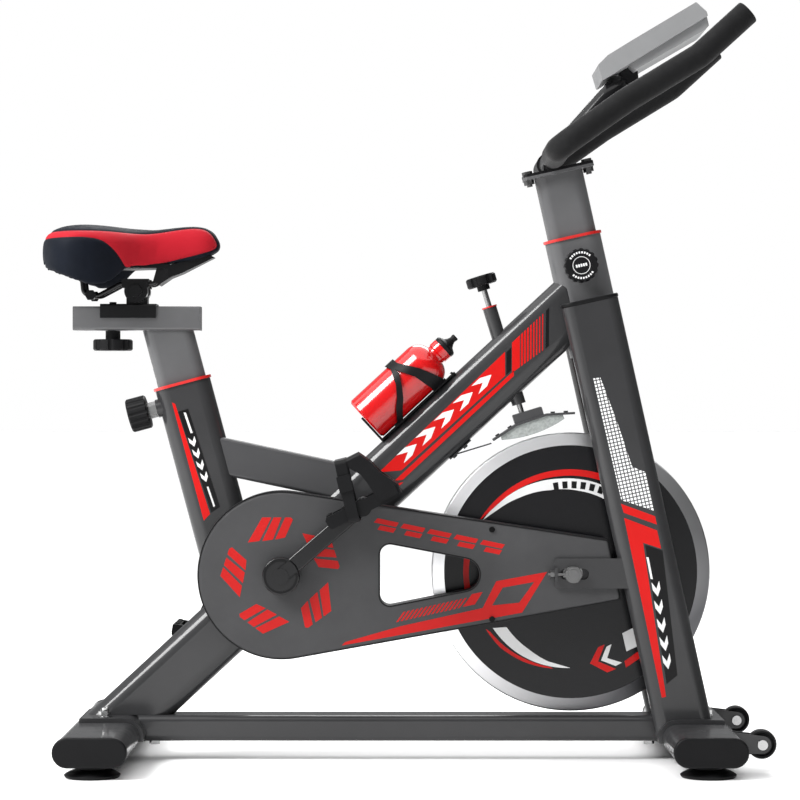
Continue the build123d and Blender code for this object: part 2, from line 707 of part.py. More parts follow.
def crank(side):
    """Crank arm with its boss, end cap and pedal spindle; side is -1 on the drive side."""
    angle = math.radians(CRANK_RISE) if side < 0 else math.radians(CRANK_RISE + 180)
    end = (BB_X + CRANK_LONG * math.cos(angle), BB_Z + CRANK_LONG * math.sin(angle))
    turn = math.degrees(angle)
    arm_face = Pos(BB_X, BB_Z) * Rot(0, 0, turn) * Pos(CRANK_LONG / 2, 0) * SlotCenterToCenter(
        CRANK_LONG, CRANK_WIDE
    )
    low, high = sorted((side * CRANK_IN, side * CRANK_OUT))
    arm = slab(arm_face, low, high)
    arm = fillet(arm.faces().sort_by(Axis.Y)[0 if side < 0 else -1].edges(), 2.5)
    low, high = sorted((side * (CRANK_IN - 4), side * (CRANK_OUT + 2)))
    boss = rod_y(BB_X, BB_Z, 26, low, high)
    boss = fillet(boss.faces().sort_by(Axis.Y)[0 if side < 0 else -1].edges(), 2)
    low, high = sorted((side * (CRANK_OUT + 2), side * (CRANK_OUT + 3.5)))
    disc = rod_y(BB_X, BB_Z, 11, low, high)
    arm = arm + boss + disc - rod_y(BB_X, BB_Z, SPINDLE_R, -CRANK_OUT - 2, CRANK_OUT + 2)
    low, high = sorted((side * CRANK_IN, side * (PEDAL_OUT - 6)))
    spindle = rod_y(*end, PEDAL_AXLE_R, low, high)
    low, high = sorted((side * CRANK_OUT, side * (CRANK_OUT + 3)))
    return arm + spindle + rod_y(*end, 9, low, high)


def pedal_frame(side):
    """Frame on the pedal's axle: x towards the toe, z out of the tread."""
    angle = math.radians(CRANK_RISE) if side < 0 else math.radians(CRANK_RISE + 180)
    tilt = PEDAL_TILT_RIGHT if side < 0 else PEDAL_TILT_LEFT
    return leaning(
        BB_X + CRANK_LONG * math.cos(angle), BB_Z + CRANK_LONG * math.sin(angle), tilt
    )


def pedal(side):
    """Platform pedal: barrel, two side rails, end bars, tread ribs and reflectors."""
    middle = -(PEDAL_IN + PEDAL_OUT) / 2
    half = PEDAL_HALF
    body = rod_y(0, 0, 12, middle - half, middle + half)
    body += rod_y(0, 0, 7.5, middle + half, middle + half + 3)
    for y in (middle - half + 4, middle + half - 4):
        rail = Pos(0, y, 1) * Box(104, 8, 18)
        body += fillet(rail.edges().filter_by(Axis.Y), 4)
    for x in (-47, -24, 24, 47):
        body += Pos(x, middle, 2) * Box(9, 2 * half - 4, 14)
        for i in range(7):
            body += Pos(x, middle - 33 + 11 * i, 10) * Box(6, 4, 3)
    body -= rod_y(0, 0, PEDAL_AXLE_R + FIT, middle - half + 4, middle + half + 4)
    for x in (-52.5, 52.5):
        body += Pos(x, middle, 1) * Box(3, 46, 11)
    if side > 0:
        body = mirror(body, Plane.XZ)
    return pedal_frame(side) * body


def toe_cage(side):
    """Moulded toe cup open to the rear, with the strap looped round cup and platform."""
    middle = -(PEDAL_IN + PEDAL_OUT) / 2
    inner = PEDAL_HALF
    outer = PEDAL_HALF + 2.5
    crest = [(3, 69.5), (27, 69.5), (37, 51), (43, 32), (56.6, 8), (56.6, -6)]
    under = [(54.1, -6), (54.1, 7.5), (40.7, 30.9), (34.7, 49.9), (25.5, 67), (3.9, 67)]
    cup = slab(outline((-9.5, 62), *crest, *under, (-8.2, 59.7)), middle - outer, middle + outer)
    cheek = outline((-24, -4), (-17, 35), (-9.5, 62), *crest[:4], (53, 14), (53, -4))
    cheek -= outline((-13, -5), (-2, 25), (5.3, 59), (17.6, 41), (20.6, 26), (24, -5))
    cup += slab(cheek, middle - outer, middle - inner)
    cup += slab(cheek, middle + inner, middle + outer)
    mouth = extrude(Rot(0, 0, 90) * SlotOverall(60, 30), 12, both=True)
    cup -= Pos(46, middle, 27) * Rot(0, 62, 0) * mouth
    round_over = Plane(origin=(-60, middle, 0), x_dir=(0, 1, 0), z_dir=(1, 0, 0)).location
    cup &= round_over * Pos(0, -5.5) * extrude(RectangleRounded(2 * outer, 150, 6), 140)
    loop = RectangleRounded(2 * outer + 4, 88, 8) - RectangleRounded(2 * outer, 84, 6)
    strap = Pos(-9, middle, 29.3) * Rot(0, 13, 0) * extrude(Plane.YZ * loop, 7.7, both=True)
    buckle = Pos(-7, middle - outer - 3.2, 40) * Rot(0, 13, 0) * Box(19, 3, 22)
    cage = cup + strap + buckle
    if side > 0:
        cage = mirror(cage, Plane.XZ)
    return pedal_frame(side) * cage


# Saddle -----------------------------------------------------------------------


def seat_post():
    """Leaning post with the flat slider tube welded across its top."""
    top = 106
    post = bar(SEAT, flat_oval(POST_WIDE, SEAT_POST_THICK, WALL), -215, top)
    slider_mid = (SLIDER_REAR + SLIDER_FRONT) / 2
    slider_z = (SLIDER_LOW + SLIDER_HIGH) / 2
    tall = SLIDER_HIGH - SLIDER_LOW
    long = SLIDER_FRONT - SLIDER_REAR
    post -= Pos(slider_mid, 0, SLIDER_LOW) * Box(400, 200, 200, align=STAND)
    outer = Pos(slider_mid, 0, slider_z) * Box(long, SLIDER_WIDE, tall)
    outer = fillet(outer.edges().filter_by(Axis.X), 4)
    inner = Pos(slider_mid, 0, slider_z) * Box(
        long + 2, SLIDER_WIDE - 2 * WALL, tall - 2 * WALL
    )
    slider = outer - inner
    slot_low = KNOB_X - 42
    slot_high = KNOB_X + 22
    slot = Pos((slot_low + slot_high) / 2, 0, SLIDER_LOW - 1) * extrude(
        SlotOverall(slot_high - slot_low, 11), tall + 2
    )
    slider -= slot
    plug_out = Pos(SLIDER_FRONT - 3, 0, slider_z) * Box(6, SLIDER_WIDE + 1, tall + 1)
    plug_out = plug_out - Pos(SLIDER_FRONT - 8, 0, slider_z) * Box(4, 60, 60)
    plug = Pos(SLIDER_FRONT - 6, 0, slider_z) * Box(
        12, SLIDER_WIDE - 2 * WALL, tall - 2 * WALL
    )
    tail = Pos(SLIDER_REAR + 4, 0, slider_z) * Box(
        8, SLIDER_WIDE - 2 * WALL, tall - 2 * WALL
    )
    for i in range(8):
        drop = -SEAT_PIN_DROP + 60 - HOLE_PITCH * i
        post -= SEAT * Pos(-POST_WIDE / 2, 0, drop) * Rot(0, 90, 0) * Cylinder(PIN_R + 0.5, 12)
    return together(post + slider, plug, tail)


def locking_bush(frame, wall, collar_low, collar_high):
    """Threaded bush that screws into a weld nut and guides the pin."""
    bush = bar(frame, Circle(PIN_THREAD_R), wall, collar_low)
    bush += frame * Pos(0, 0, collar_low) * hex_nut(20, collar_high - collar_low)
    return bush - bar(frame, Circle(PIN_R + FIT), wall - 2, collar_high + 2)


def locking_knob(frame, tip, low, high):
    """Pull knob with its locking pin."""
    knob = frame * Pos(0, 0, low) * grip_knob(PIN_KNOB_R, high - low, 16, 3)
    knob -= bar(frame, Circle(15), high - 1.5, high + 1)
    return knob + bar(frame, Circle(PIN_R), tip, low + 2)


def seat_pin_bush():
    return locking_bush(SEAT_PIN, SEAT_WIDE / 2 - 3, SEAT_WIDE / 2 + 4.3, SEAT_WIDE / 2 + 16)


def seat_pin_knob():
    return locking_knob(
        SEAT_PIN, POST_WIDE / 2 + 0.6, SEAT_WIDE / 2 + 16.4, SEAT_WIDE / 2 + 45
    )


def post_pin_bush():
    half = HEAD_THICK / 2
    return locking_bush(HEAD_PIN, half - 3.4, half + 6.3, half + 13)


def post_pin_knob():
    half = HEAD_THICK / 2
    return locking_knob(HEAD_PIN, HEAD_POST_THICK / 2 + 0.6, half + 13.4, half + 36)


def saddle_carriage():
    """Channel that rides on the slider tube, with the cradle for the saddle clamp."""
    mid = (CARRIAGE_REAR + CARRIAGE_FRONT) / 2
    long = CARRIAGE_FRONT - CARRIAGE_REAR
    inner_half = SLIDER_WIDE / 2 + 0.4
    top = SLIDER_HIGH + 0.4
    outer = Pos(mid, 0, top - 17) * Box(
        long, 2 * (inner_half + CARRIAGE_WALL), 17 + CARRIAGE_WALL, align=STAND
    )
    outer = fillet(outer.edges().filter_by(Axis.X).sort_by(Axis.Z)[-2:], 3)
    channel = outer - Pos(mid, 0, top) * Box(long + 2, 2 * inner_half, 60, align=HANG)
    channel -= Pos(KNOB_X, 0, top) * Cylinder(5 + FIT, 40)
    cradle = Pos(TILT_X, TILT_Z) * Circle(15)
    cradle += outline(
        (TILT_X - 15, TILT_Z), (TILT_X + 15, TILT_Z), (TILT_X + 15, top + 1), (TILT_X - 15, top + 1)
    )
    cradle -= Pos(TILT_X, TILT_Z) * Circle(TILT_PIN_R + FIT)
    return channel + slab(cradle, -11, 11)


def carriage_knob():
    """Star knob under the slider, its bolt up through the slot and the channel."""
    bolt = Pos(KNOB_X, 0, 600) * Cylinder(5, 47, align=STAND)
    stem = Pos(KNOB_X, 0, 594) * Cylinder(10.5, SLIDER_LOW - 594 - 0.4, align=STAND)
    head = Pos(KNOB_X, 0, 578) * grip_knob(28, 16, 8, 5)
    return bolt + stem + head


def rail(y, radius):
    points = [(x, y, z) for x, z in RAIL_POINTS]
    return tube_path(points, [10, 14, 14, 8], radius)


def saddle_rails():
    """Two sprung steel rails and the cross bolt behind the clamp."""
    cross = rod_y(-440, 656, 4.5, -28, 28)
    for y in (-28, 25):
        cross += slab(Pos(-440, 656) * RegularPolygon(8, 6), y, y + 3)
    return together(rail(-RAIL_Y, RAIL_R) + rail(RAIL_Y, RAIL_R) + cross)


def saddle_clamp():
    """Two jaws on the tilt pin that grip the rails."""
    face = Pos(TILT_X, TILT_Z) * Circle(16.5)
    face += outline(
        (TILT_X - 20, TILT_Z + 4),
        (TILT_X + 18, TILT_Z + 4),
        (TILT_X + 18, TILT_Z + 17),
        (TILT_X - 20, TILT_Z + 17),
    )
    jaw = slab(face, 11.4, 27)
    pin = rod_y(TILT_X, TILT_Z, TILT_PIN_R, -27, 27)
    clamp = jaw + mirror(jaw, Plane.XZ) + pin
    for y in (-33, 27):
        clamp += slab(Pos(TILT_X, TILT_Z) * RegularPolygon(9.5, 6), y, y + 6)
    return clamp - rail(-RAIL_Y, RAIL_R) - rail(RAIL_Y, RAIL_R)


def saddle_plan(inset):
    """Saddle seen from above, wide at the back and narrow at the nose."""
    half = Spline(
        (SADDLE_REAR + inset, 0),
        (-500 + inset, 62 - inset),
        (-458, 103 - inset),
        (-405, 84 - inset),
        (-360, 45 - inset),
        (-310, 30 - inset),
        (-272, 24 - inset),
        (-256 - inset, 0),
        tangents=((0, 1), (0, -1)),
    )
    return make_face([half, mirror(half, Plane.XZ)])


def saddle_cushion():
    """Closed stand-in for the padded top, hollow below for the plastic base."""
    top = Spline(
        (-512, 728), (-500, 745), (-455, 757.5), (-400, 754.5), (-350, 750), (-300, 755),
        (-275, 754), (-256, 727),
    )
    low = Polyline(
        (-256, 727), (-262, 716), (-330, 699), (-388, 692), (-402, 676), (-438, 670),
        (-500, 690), (-512, 702), (-512, 728),
    )
    body = extrude(saddle_plan(0), 900) & slab(make_face([top, low]), -120, 120)
    return body - Pos(0, 0, 600) * extrude(saddle_plan(9), 101)


def saddle_shell():
    """Plastic base inside the cushion, with the nose that takes the rails."""
    plate = Pos(0, 0, 694) * extrude(saddle_plan(9.4), 6.6)
    plate -= Pos(-280, 0, 690) * Box(100, 80, 20, align=STAND)
    nose = outline(
        (-352, 676), (-346, 697), (-331, 698.2), (-300, 705.9), (-272, 712.8), (-266, 710),
        (-311, 687.5), (-328, 681), (-344, 670)
    )
    keel = slab(nose, -25, 25) & extrude(saddle_plan(9.4), 900)
    post = Pos(-454, 0, 684) * Box(16, 54, 12, align=STAND)
    shell = plate + keel + post
    return shell - rail(-RAIL_Y, RAIL_R) - rail(RAIL_Y, RAIL_R)


# Handlebar --------------------------------------------------------------------


def handlebar_post():
    """Flat-oval post with the mounting plate welded on top."""
    post = bar(HEAD, flat_oval(POST_WIDE, HEAD_POST_THICK, WALL), -160, PLATE_TOP - 4)
    plate = bar(HEAD, RectangleRounded(PLATE_LONG, PLATE_WIDE, 6), PLATE_TOP - 4, PLATE_TOP)
    for x in PLATE_BOLTS:
        plate -= HEAD * Pos(x, 0, PLATE_TOP) * Cylinder(4.2, 30)
    for i in range(6):
        drop = -HEAD_PIN_DROP + 40 - HOLE_PITCH * i
        post -= HEAD * Pos(0, -HEAD_POST_THICK / 2, drop) * Rot(90, 0, 0) * Cylinder(
            PIN_R + 0.5, 10
        )
    return post + plate


def side_bar(radius, start_y, shorten):
    """One hand bar: out along the base, then up and forward beside the rider's hands."""
    x, z = BAR_START
    points = [(x, start_y, z), (x, -BAR_Y, z)]
    points += [(px, -BAR_Y, pz) for px, pz in BAR_POINTS[:-1]]
    last = BAR_POINTS[-1]
    points.append((last[0] - shorten, -BAR_Y, last[1] - shorten * 0.91))
    return tube_path(points, [30, 60, 60], radius)


def inner_loop(radius):
    """Raised loop between the hand bars that carries the console."""
    y = LOOP_Y
    foot_x, foot_z = BAR_START
    top_x, top_z = LOOP_TOP
    points = [(foot_x, -y, foot_z), (top_x, -y, top_z), (top_x, y, top_z), (foot_x, y, foot_z)]
    return tube_path(points, 26, radius)


def handlebar_frame():
    """Welded bars: base, two hand bars, console loop, lower plate and console bracket."""
    bars = side_bar(BAR_R, 0, 0)
    bars += mirror(bars, Plane.XZ)
    bars += inner_loop(BAR_R)
    plate = bar(HEAD, RectangleRounded(PLATE_LONG, PLATE_WIDE, 6), PLATE_TOP, PLATE_TOP + 4)
    for x in PLATE_BOLTS:
        plate -= HEAD * Pos(x, 0, PLATE_TOP) * Cylinder(4.2, 30)
    foot = slab(outline((199, 830), (225, 836), (225, 850), (199, 850)), -24, 24)
    plate += foot - bar(HEAD, Rectangle(200, 80), PLATE_TOP - 20, PLATE_TOP)
    arm = slab(outline((296, 948), (304, 940), (334, 962), (332, 978), (310, 976)), -16, 16)
    return bars + plate + (arm - console_case())


def handlebar_grips():
    """Foam sleeves on the hand bars, closed at their ends."""
    foam = side_bar(FOAM_R, -FOAM_START, -4)
    tip_x, tip_z = BAR_POINTS[-1]
    tip = Vector(tip_x + 4, -BAR_Y, tip_z + 4 * 0.91)
    foam = fillet(foam.edges().filter_by(GeomType.CIRCLE).sort_by_distance(tip)[0], 3)
    foam -= side_bar(BAR_R, 0, 0)
    return both_sides(foam)


def handlebar_bolts():
    """Two bolts with nuts through both plates."""
    pieces = []
    for x in PLATE_BOLTS:
        spot = HEAD * Pos(x, 0, PLATE_TOP + 4)
        bolt = spot * hex_nut(13, 5)
        bolt += spot * Cylinder(4, 17, align=HANG)
        bolt += spot * Pos(0, 0, -8 - 6) * hex_nut(13, 6)
        pieces.append(bolt)
    return together(*pieces)


def console_case():
    """Wedge-ended case with its darker back, before the screen is let in."""
    profile = outline((0, 0), (173, 0), (174.5, 6), (169, 25), (64, 26.5), (25, 26.5), (6, 22))
    case = slab(profile, -CONSOLE_HALF, CONSOLE_HALF)
    case = fillet(case.edges().filter_by(Axis.Y), 2)
    back = outline((45, 0), (48, -11), (160, -14), (168, -12), (172, 0))
    return CONSOLE * (case + slab(back, -CONSOLE_HALF + 6, CONSOLE_HALF - 6))


def console_housing():
    """Console case with a recess for the screen and a hole for the button."""
    screen = CONSOLE * Pos(112, 0, 23.6) * Box(92, 84, 10, align=STAND)
    return console_case() - screen - CONSOLE * Pos(44, 0, 20) * Cylinder(8.5, 20, align=STAND)


def console_screen():
    return CONSOLE * Pos(112, 0, 23.6) * Box(92, 84, 1.6, align=STAND)


def console_button():
    button = Pos(44, 0, 22) * Cylinder(8, 6.5, align=STAND)
    return CONSOLE * fillet(button.faces().sort_by(Axis.Z)[-1].edges(), 1)


# Brake ------------------------------------------------------------------------


def brake_nut():
    """Threaded sleeve that slides in the brake tube when the knob is pushed."""
    return bar(BRAKE, ring(BRAKE_NUT_R, BRAKE_ROD_R + FIT), 262, 385)


def brake_screw():
    """Rod from the knob down to the pad carriage."""
    return bar(BRAKE, Circle(BRAKE_ROD_R), 230, 430) + bar(BRAKE, Circle(7), 226, 230)


def brake_knob():
    knob = BRAKE * Pos(0, 0, 424) * grip_knob(22, 14, 6, 6)
    hub = bar(BRAKE, Circle(9), 417, 424)
    return knob + hub - bar(BRAKE, Circle(BRAKE_ROD_R), 200, 430)


def brake_carriage():
    """Pad holder: socket block on a bent strip, with the pad screws."""
    strip_low = [(-50, 208.5), (-12, 219.5), (32, 221), (71, 211.4)]
    strip_high = [(72, 214.4), (33, 224), (-13, 222.6), (-51, 211.5)]
    holder = slab(outline(*strip_low, *strip_high), -15, 15)
    block = Pos(7.5, 229) * RectangleRounded(43, 13.5, 2)
    holder += slab(block, -13, 13)
    holder -= Pos(0, 0, 225.7) * Cylinder(7.3, 4.6, align=STAND)
    holder -= Pos(0, 0, 225) * Cylinder(BRAKE_ROD_R + 0.3, 20, align=STAND)
    screws = [(-42, 213.8, -16), (-22, 219.6, -16), (42, 221.6, 14.8), (60, 217.2, 14.8)]
    for x, z, tilt in screws:
        holder += Pos(x, 0, z) * Rot(0, tilt, 0) * Cylinder(3.2, 5)
    return BRAKE * holder


def brake_pads():
    """Felt block that hangs over the rim, its underside curved to match."""
    low = FLYWHEEL_R + PAD_CLEAR
    edge = [
        Polyline((55, 209.6), (54.5, 215.4), (32, 221), (-12, 219.5), (-38, 211.9), (-38, 206.5)),
        ThreePointArc((-38, 206.5), (8, low), (55, 209.6)),
    ]
    return BRAKE * slab(make_face(edge), -13, 13)


def brake_leaf():
    """Return strip screwed under the main tube, stopping short of the pad holder."""
    frame = MAIN * Pos(MAIN_WIDE / 2, 0, 0)
    under = frame * Pos(0, 0, 283) * Box(2, 16, 40, align=OUTWARD)
    for z in (291, 311):
        under += frame * Pos(2, 0, z) * Rot(0, 90, 0) * Cylinder(3.5, 2.5, align=STAND)
    strip = slab(outline((72.5, 431), (73.2, 429.4), (126.5, 445.7), (126, 447.3)), -8, 8)
    return under + strip - MAIN_SOLID


# Bottle -----------------------------------------------------------------------


def bottle_frame():
    return MAIN * Pos(-BOTTLE_OFF, 0, BOTTLE_START)


def bottle():
    """Squeeze bottle with a rounded shoulder and a broad neck."""
    edge = [
        Polyline((0, 0), (BOTTLE_R - 3, 0), (BOTTLE_R, 3), (BOTTLE_R, 112)),
        ThreePointArc((BOTTLE_R, 112), (30, 124), (15, 134)),
        Polyline((15, 134), (15, 137), (16.5, 139), (16.5, 149), (NECK_R, 149), (NECK_R, 156)),
        Polyline((NECK_R, 156), (0, 156), (0, 0)),
    ]
    return bottle_frame() * revolve(Plane.XZ * make_face(edge), Axis.Z)


def bottle_cap():
    """Screw cap that turns on the neck, with its drinking spout."""
    profile = outline(
        (NECK_R + FIT, 149.4), (16.5, 149.4), (16.5, 154), (15, 156), (9, 159), (6, 163), (4.5, 167),
        (5.2, 172), (4.4, 173.5), (0, 173.5), (0, 156.5), (NECK_R + FIT, 156.5),
    )
    return bottle_frame() * revolve(Plane.XZ * profile, Axis.Z)


SUBPARTS = {
    "rear_stabilizer": stabilizer(REAR_X, REAR_BOLT),
    "front_stabilizer": front_stabilizer(),
    "tube_end_caps": tube_end_caps(),
    "frame_fasteners": frame_fasteners(),
    "base_tube": base_tube(),
    "main_tube": together(main_tube(), brake_leaf()),
    "seat_tube": seat_tube(),
    "cross_brace": cross_brace(),
    "head_tube": head_tube(),
    "fork_legs": fork_legs(),
    "bottom_bracket_shell": bottom_bracket_shell(),
    "bottom_bracket_bearings": bottom_bracket_bearings(),
    "belt_cover_outer": belt_cover_outer(),
    "belt_cover_inner": belt_cover_inner(),
    "drive_belt": drive_belt(),
    "flywheel_axle": flywheel_axle(),
    "belt_tensioners": belt_tensioners(),
    "tube_collars": tube_collars(),
    "bottle_cage": bottle_cage(),
    "foot_rear_right": levelling_foot(REAR_X, -FOOT_Y),
    "foot_rear_left": levelling_foot(REAR_X, FOOT_Y),
    "foot_front_right": levelling_foot(FRONT_X, -FOOT_Y),
    "foot_front_left": levelling_foot(FRONT_X, FOOT_Y),
    "seat_post": seat_post(),
    "seat_pin_bush": seat_pin_bush(),
    "seat_pin_knob": seat_pin_knob(),
    "saddle_carriage": saddle_carriage(),
    "carriage_knob": carriage_knob(),
    "saddle_clamp": saddle_clamp(),
    "saddle_rails": saddle_rails(),
    "saddle_shell": saddle_shell(),
    "saddle_cushion": saddle_cushion(),
    "handlebar_post": handlebar_post(),
    "handlebar_frame": handlebar_frame(),
    "handlebar_grips": handlebar_grips(),
    "handlebar_bolts": handlebar_bolts(),
    "console_housing": console_housing(),
    "console_screen": console_screen(),
    "console_button": console_button(),
    "post_pin_bush": post_pin_bush(),
    "post_pin_knob": post_pin_knob(),
    "crank_spindle": crank_spindle(),
    "crank_right": crank(-1),
    "crank_left": crank(1),
    "crank_pulley": crank_pulley(),
    "pedal_right": pedal(-1),
    "pedal_left": pedal(1),
    "toe_cage_right": toe_cage(-1),
    "toe_cage_left": toe_cage(1),
    "flywheel": flywheel(),
    "flywheel_pulley": flywheel_pulley(),
    "transport_wheel_right": transport_wheel(-WHEEL_Y),
    "transport_wheel_left": transport_wheel(WHEEL_Y),
    "brake_nut": brake_nut(),
    "brake_screw": brake_screw(),
    "brake_knob": brake_knob(),
    "brake_carriage": brake_carriage(),
    "brake_pads": brake_pads(),
    "bottle": bottle(),
    "bottle_cap": bottle_cap(),
}

os.makedirs("parts", exist_ok=True)
for name, shape in SUBPARTS.items():
    export_step(shape, f"parts/{name}.step")
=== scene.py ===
import json
import math

import bmesh
import bpy
from mathutils import Matrix, Vector


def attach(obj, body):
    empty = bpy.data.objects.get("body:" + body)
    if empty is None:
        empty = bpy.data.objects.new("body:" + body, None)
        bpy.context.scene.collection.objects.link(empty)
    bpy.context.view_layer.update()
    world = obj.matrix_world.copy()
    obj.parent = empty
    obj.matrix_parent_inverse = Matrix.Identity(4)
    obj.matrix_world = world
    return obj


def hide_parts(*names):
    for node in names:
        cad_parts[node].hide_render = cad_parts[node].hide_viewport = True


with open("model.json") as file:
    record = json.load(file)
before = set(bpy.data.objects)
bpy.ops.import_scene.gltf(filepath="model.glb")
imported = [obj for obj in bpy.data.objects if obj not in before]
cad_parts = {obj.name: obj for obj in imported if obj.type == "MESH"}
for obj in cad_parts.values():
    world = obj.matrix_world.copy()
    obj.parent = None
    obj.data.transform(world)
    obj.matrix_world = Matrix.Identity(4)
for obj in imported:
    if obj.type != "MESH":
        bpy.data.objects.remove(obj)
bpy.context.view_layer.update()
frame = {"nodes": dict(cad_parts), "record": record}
nodes = frame["nodes"]
MM = 0.001

# Places in mm, as in the CAD
CRANK_X, CRANK_Z = -169, 263
WHEEL_X, WHEEL_Z = 238, 265
HEAD_X, HEAD_Z, HEAD_LEAN = 241.6, 736.6, 12.5
COVER_FACE = -64
CRANK_FACE = 88
WHEEL_FACE = 10.5
RIM_INSIDE = 179


# Camera -----------------------------------------------------------------------

CAMERA_PLACE = (-0.0035, -3.9, 0.508)
CAMERA_LENS = 123.6

camera_data = bpy.data.cameras.new("camera")
camera_data.sensor_width = 36
camera_data.lens = CAMERA_LENS
camera = bpy.data.objects.new("camera", camera_data)
camera.location = CAMERA_PLACE
camera.rotation_euler = (math.radians(90), 0, 0)
bpy.context.scene.collection.objects.link(camera)
bpy.context.scene.camera = camera


# Small helpers ----------------------------------------------------------------


def link(name, mesh):
    piece = bpy.data.objects.new(name, mesh)
    bpy.context.scene.collection.objects.link(piece)
    return piece


def mesh_piece(name, points, faces, smooth=False):
    mesh = bpy.data.meshes.new(name)
    mesh.from_pydata([tuple(p) for p in points], [], faces)
    mesh.validate()
    for polygon in mesh.polygons:
        polygon.use_smooth = smooth
    return link(name, mesh)


def leaning(x, z, lean):
    """Matrix, in metres, of axes at (x, 0, z) mm whose z leans back by lean degrees."""
    a = math.radians(lean)
    return Matrix(
        (
            (math.cos(a), 0, -math.sin(a), x * MM),
            (0, 1, 0, 0),
            (math.sin(a), 0, math.cos(a), z * MM),
            (0, 0, 0, 1),
        )
    )


MAIN = leaning(CRANK_X, CRANK_Z, -47.2)
SEAT = leaning(-312, 530, 15)
HEAD = leaning(HEAD_X, HEAD_Z, HEAD_LEAN)
CONSOLE = leaning(279.6, 954.4, 31.6)


# Materials --------------------------------------------------------------------


class Paint:
    """Node material built up a layer at a time; places are in the row frame, in metres."""

    def __init__(self, name, color, rough, **constants):
        self.mat = bpy.data.materials.new(name)
        self.mat.use_nodes = True
        self.tree = self.mat.node_tree
        self.bsdf = self.tree.nodes["Principled BSDF"]
        self.coords = self.tree.nodes.new("ShaderNodeTexCoord").outputs["Object"]
        self.bsdf.inputs["Base Color"].default_value = (*color, 1)
        self.bsdf.inputs["Roughness"].default_value = rough
        for key, value in constants.items():
            socket = key.replace("_", " ").title().replace("Ior", "IOR")
            self.bsdf.inputs[socket].default_value = value
        self.color = color
        self.rough = rough
        self.height = None

    def node(self, kind, **settings):
        made = self.tree.nodes.new(kind)
        for key, value in settings.items():
            setattr(made, key, value)
        return made

    def join(self, source, target):
        self.tree.links.new(source, target)

    def stretched(self, scale):
        mapping = self.node("ShaderNodeMapping")
        mapping.inputs["Scale"].default_value = scale
        self.join(self.coords, mapping.inputs["Vector"])
        return mapping.outputs["Vector"]

    def noise(self, scale, detail=3.0, rough=0.5, stretch=None):
        made = self.node("ShaderNodeTexNoise")
        made.inputs["Scale"].default_value = scale
        made.inputs["Detail"].default_value = detail
        made.inputs["Roughness"].default_value = rough
        self.join(self.stretched(stretch) if stretch else self.coords, made.inputs["Vector"])
        return made.outputs["Fac"]

    def cells(self, scale, feature="F1", stretch=None):
        made = self.node("ShaderNodeTexVoronoi", feature=feature)
        made.inputs["Scale"].default_value = scale
        self.join(self.stretched(stretch) if stretch else self.coords, made.inputs["Vector"])
        return made.outputs["Distance"]

    def ranged(self, value, low, high, to_low, to_high):
        made = self.node("ShaderNodeMapRange")
        made.inputs["From Min"].default_value = low
        made.inputs["From Max"].default_value = high
        made.inputs["To Min"].default_value = to_low
        made.inputs["To Max"].default_value = to_high
        self.join(value, made.inputs["Value"])
        return made.outputs["Result"]

    def math(self, operation, a, b=None):
        made = self.node("ShaderNodeMath", operation=operation)
        for slot, value in enumerate((a, b)):
            if value is None:
                continue
            if isinstance(value, (int, float)):
                made.inputs[slot].default_value = value
            else:
                self.join(value, made.inputs[slot])
        return made.outputs[0]

    def mix(self, factor, a, b):
        made = self.node("ShaderNodeMix", data_type="RGBA")
        self.join(factor, made.inputs["Factor"])
        for key, value in (("A", a), ("B", b)):
            socket = [i for i in made.inputs if i.name == key and i.type == "RGBA"][0]
            if isinstance(value, tuple):
                socket.default_value = (*value[:3], 1)
            else:
                self.join(value, socket)
        return [o for o in made.outputs if o.type == "RGBA"][0]

    def tone(self, amount, scale, stretch=None):
        """Slow light and dark drift of the base colour."""
        low = tuple(c * (1 - amount) for c in self.color)
        high = tuple(min(1, c * (1 + amount)) for c in self.color)
        drift = self.ranged(self.noise(scale, 4, 0.6, stretch), 0.3, 0.7, 0, 1)
        self.base = self.mix(drift, low, high)
        self.join(self.base, self.bsdf.inputs["Base Color"])
        return self

    def sheen_drift(self, amount, scale, stretch=None):
        """Slow drift of the roughness."""
        drift = self.noise(scale, 5, 0.6, stretch)
        rough = self.ranged(drift, 0.3, 0.7, self.rough - amount, self.rough + amount)
        self.join(rough, self.bsdf.inputs["Roughness"])
        return self

    def bump(self, value, depth, strength=1.0):
        """One more layer of relief, depth in metres."""
        made = self.node("ShaderNodeBump")
        made.inputs["Distance"].default_value = depth
        made.inputs["Strength"].default_value = strength
        self.join(value, made.inputs["Height"])
        if self.height is not None:
            self.join(self.height, made.inputs["Normal"])
        self.height = made.outputs["Normal"]
        self.join(self.height, self.bsdf.inputs["Normal"])
        return self

    def soft_edges(self, radius):
        """Rounds the look of hard edges."""
        made = self.node("ShaderNodeBevel", samples=4)
        made.inputs["Radius"].default_value = radius
        self.height = made.outputs["Normal"]
        self.join(self.height, self.bsdf.inputs["Normal"])
        return self

    def axis(self, index, rotate=0.0, origin=(0, 0, 0)):
        """One object coordinate, after moving to origin and turning about Y by rotate degrees."""
        mapping = self.node("ShaderNodeMapping", vector_type="TEXTURE")
        mapping.inputs["Location"].default_value = origin
        mapping.inputs["Rotation"].default_value = (0, math.radians(rotate), 0)
        self.join(self.coords, mapping.inputs["Vector"])
        parts = self.node("ShaderNodeSeparateXYZ")
        self.join(mapping.outputs["Vector"], parts.inputs["Vector"])
        return parts.outputs[index]

    def radius_from(self, x, z):
        """Distance from the line through (x, z) across the bike."""
        origin = (x, 0, z)
        across = self.math("POWER", self.axis(0, 0, origin), 2)
        up = self.math("POWER", self.axis(2, 0, origin), 2)
        return self.math("SQRT", self.math("ADD", across, up))

